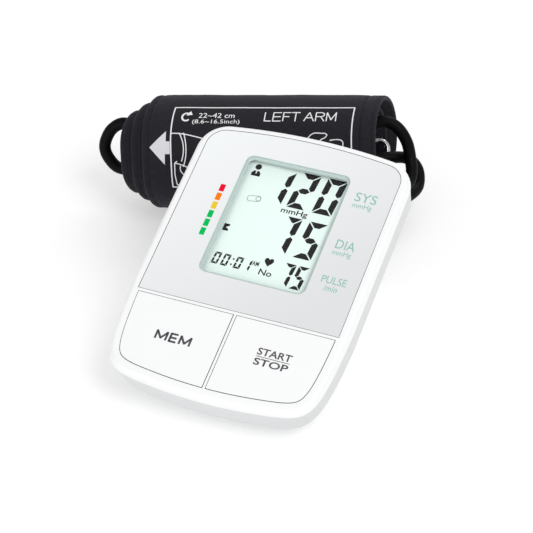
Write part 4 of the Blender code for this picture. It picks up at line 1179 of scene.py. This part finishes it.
def sewn(name, x):
    """A row of stitches along the whole strip at x."""
    bm = bmesh.new()
    position, last = arc_length(0.02), arc_length(CUFF_TURNS - 0.02)
    to_turn = lambda distance: (CUFF_RADIUS - sqrt(CUFF_RADIUS**2 - CUFF_PITCH * distance / pi)) / CUFF_PITCH
    while position + STITCH_LENGTH < last:
        ends = [cloth_point(x, to_turn(position + step), 1) for step in (0, STITCH_LENGTH)]
        middle = (ends[0] + ends[1]) / 2
        outward = Vector((0, middle.y, middle.z)).normalized()
        bridge(bm, [[bm.verts.new(point) for point in ring] for ring in stitch(*ends, outward)])
        position += STITCH_PITCH
    piece(name, bm, "thread", ROLL, "cuff_set", sharp=80)


def build_stitching():
    sewn("stitching_left", CUFF_LEFT + HEM_LEFT)
    sewn("stitching_right", CUFF_RIGHT - HEM_RIGHT)
    sewn("stitching_binding", CUFF_RIGHT - 2.2)


def build_ring():
    """The wire loop, and the sleeve of cloth that holds it."""
    near, far = Vector((0, *SLEEVE)), Vector((0, *RING_BAR))
    across = (far - near).normalized()
    plan = rounded_rectangle(*RING_ENDS, 0, (far - near).length, RING_CORNER, 10)
    path = [near + across * y + Vector((x, 0, 0)) for x, y in plan]
    rows = []
    for i, point in enumerate(path):
        ahead = (path[(i + 1) % len(path)] - path[i - 1]).normalized()
        side = across.cross(Vector((1, 0, 0))).normalized()
        other = ahead.cross(side)
        rows.append([point + RING_WIRE * (side * cos(a) + other * sin(a)) for a in full_turn(16)])
    wire = loft(rows, closed_ends=False)
    piece("ring_wire", wire, "plated_steel", ROLL, "cuff_ring", ["cuff_d_ring"], sharp=80)
    profile = [(2.1, 0.5), (2.6, 0), (3.1, 0.3), (3.3, 1.0)]
    length = SLEEVE_ENDS[1] - SLEEVE_ENDS[0]
    profile += [(3.3, length - 1.0), (3.1, length - 0.3), (2.6, length), (2.1, length - 0.5)]
    sleeve = stood(revolve(profile, 32), (SLEEVE_ENDS[0], *SLEEVE), (1, 0, 0))
    set_uv(sleeve, lambda v: (v.co.x, v.co.y + v.co.z))
    piece("ring_sleeve", sleeve, "cuff_nylon", ROLL, "cuff_set", sharp=80)


def port_surface():
    turn = (CUFF_START - PORT_ANGLE) / 360 + 1
    return CUFF_RADIUS - CUFF_PITCH * turn


def port_point(radius):
    return radius * cos(radians(PORT_ANGLE)), radius * sin(radians(PORT_ANGLE))


def build_port():
    """An elbow on the outer layer: a flange, a stem, and a barb along the roll."""
    base = port_surface()
    stem = [(0, 0), (2.9, 0), (2.9, 1.2), (6.3, 1.2), (6.5, 1.4), (6.5, 1.9)]
    stem += [(6.1, 2.3), (3.8, 2.6), (3.2, 3.3), (3.2, 7.1), (2.8, 7.7), (2.0, 7.9), (0, 7.9)]
    out = (0, cos(radians(PORT_ANGLE)), sin(radians(PORT_ANGLE)))
    elbow = temp(stood(revolve(stem), (PORT_X, *port_point(base - 0.6)), out))
    barb = port_point(base + 4.6)
    weld(
        elbow,
        rod(2.5, (PORT_X, *barb), (PORT_X + 5, *barb), 32),
        rod(1.5, (PORT_X + 4, *barb), (PORT_X + 11, *barb), 24),
    )
    eased(elbow, 0.2, 2, 50)
    piece("port_elbow", elbow, "black_abs", ROLL, "cuff_set", ["cuff_port"])


def build_hose():
    """One length of hose: plug, round the right of the roll, through it, back through it, and to the port."""
    barb = port_point(port_surface() + 4.6)
    to_roll = ROLL.inverted() @ UPRIGHT
    start = [to_roll @ Vector((AIR_JACK_X, PLUG_END + step, SOCKET_Z)) for step in (0.4, 3.5, 7.0)]
    right_upper = [(68, -32, -3.5), (77, -21, -8), (80, -13.5, -6), (79.7, -7, -1.1), (77.7, -3, 6.7)]
    right_upper += [(72.7, 0, 13.6), (65.7, 1.5, 16.2), (57, 0.5, 13.2), (48, -0.3, 8.5)]
    inside_upper = [(20, -0.5, 5), (-20, -0.5, 5), (-46, 0.5, 7.5), (-56, 1.5, 11.5)]
    left_loop = [(-63, 3, 13.4), (-68.5, 4.5, 12.8), (-73.8, 4.5, 8.4)]
    left_loop += [(-76.8, 3, 1), (-75, 0.5, -5), (-68.9, -2.5, -9.6)]
    inside_lower = [(-58, -4, -7.5), (-20, -4.5, -4), (20, -4.5, -3.5), (56, -3, -4)]
    right_lower = [(70, -1, -3.8), (79, 1, -5.8), (84, -3, -9.8), (84, -11, -14.2)]
    right_lower += [(79.5, -19, -14.8), (71, -28, -13.5)]
    right_lower += [(PORT_X + reach, *barb) for reach in (14, 9, 6)]
    route = [*start, *right_upper, *inside_upper, *left_loop, *inside_lower, *right_lower]
    tube = pipe(smooth_path(route, 9), HOSE_RADIUS, HOSE_BORE)
    piece("hose_tube", tube, "hose_rubber", ROLL, "cuff_set", ["air_hose"], sharp=60)


# Carried-over CAD nodes

CAD_LOOKS = {
    "clear_window": "display_window",
    "lcd_back": "lcd_glass",
    "black_abs": "lcd_frame mem_switch start_stop_switch buzzer pressure_sensor pump_head release_valve",
    "dark_rubber": "lcd_connector cuff_bladder",
    "board_mask": "main_board",
    "plated_steel": "pump_motor pump_shaft valve_plunger",
    "clear_tube": "air_manifold jack_tube pump_tube",
    "hook_tape": "hook_patch",
}


def dress_cad_nodes():
    """The pieces whose CAD shape is already right take a finished material."""
    skins = {name: skin for skin, names in CAD_LOOKS.items() for name in names.split()}
    for name, obj in frame["nodes"].items():
        skin = skins.get(name, "plated_steel" if name.startswith("contact_") else None)
        if skin:
            obj.data.materials.clear()
            obj.data.materials.append(look(skin))


# Stage


def build_floor():
    bm = bmesh.new()
    bmesh.ops.create_grid(bm, x_segments=1, y_segments=1, size=6.0)
    floor = temp(bm)
    floor.name = "floor"
    floor.location.z = -0.0002
    floor.data.materials.append(look("floor_paper"))


LIT_POINT = Vector((0, 0, 0.03))


def area_light(name, location, size, power):
    data = bpy.data.lights.new(name, "AREA")
    data.shape = "DISK"
    data.size = size
    data.energy = power
    lamp = added(name, data)
    lamp.location = location
    lamp.rotation_euler = (LIT_POINT - Vector(location)).to_track_quat("-Z", "Y").to_euler()


def build_light():
    world = bpy.data.worlds.new("studio")
    world.use_nodes = True
    set_inputs(world.node_tree.nodes["Background"], {"Color": (1, 1, 1, 1), "Strength": 0.55})
    bpy.context.scene.world = world
    area_light("key", (0.9, -0.5, 1.3), 0.9, 11.0)
    area_light("fill", (-0.6, -1.4, 0.45), 0.9, 5.7)
    area_light("back", (0.1, 1.3, 1.1), 1.0, 6.2)


def build_camera():
    """The view from above the front right of the console that shows the face and the roll behind it."""
    data = bpy.data.cameras.new("camera")
    data.sensor_width = 36
    data.lens = 120.66
    camera = added("camera", data)
    camera.location = UPRIGHT @ Vector((254.07, -604.08, 519.65))
    forward = Vector((-0.31003, 0.74803, -0.5868))
    camera.rotation_euler = forward.to_track_quat("-Z", "Y").to_euler()
    bpy.context.scene.camera = camera


def build():
    build_upper_shell()
    build_lower_shell()
    build_cover()
    build_feet()
    build_screws()
    build_face_panel()
    build_display()
    build_buttons()
    build_sockets()
    build_cells()
    build_plug()
    build_cloth()
    build_print()
    build_stitching()
    build_ring()
    build_port()
    build_hose()
    dress_cad_nodes()
    build_floor()
    build_light()
    build_camera()
    bpy.context.scene.view_settings.view_transform = "Standard"


build()
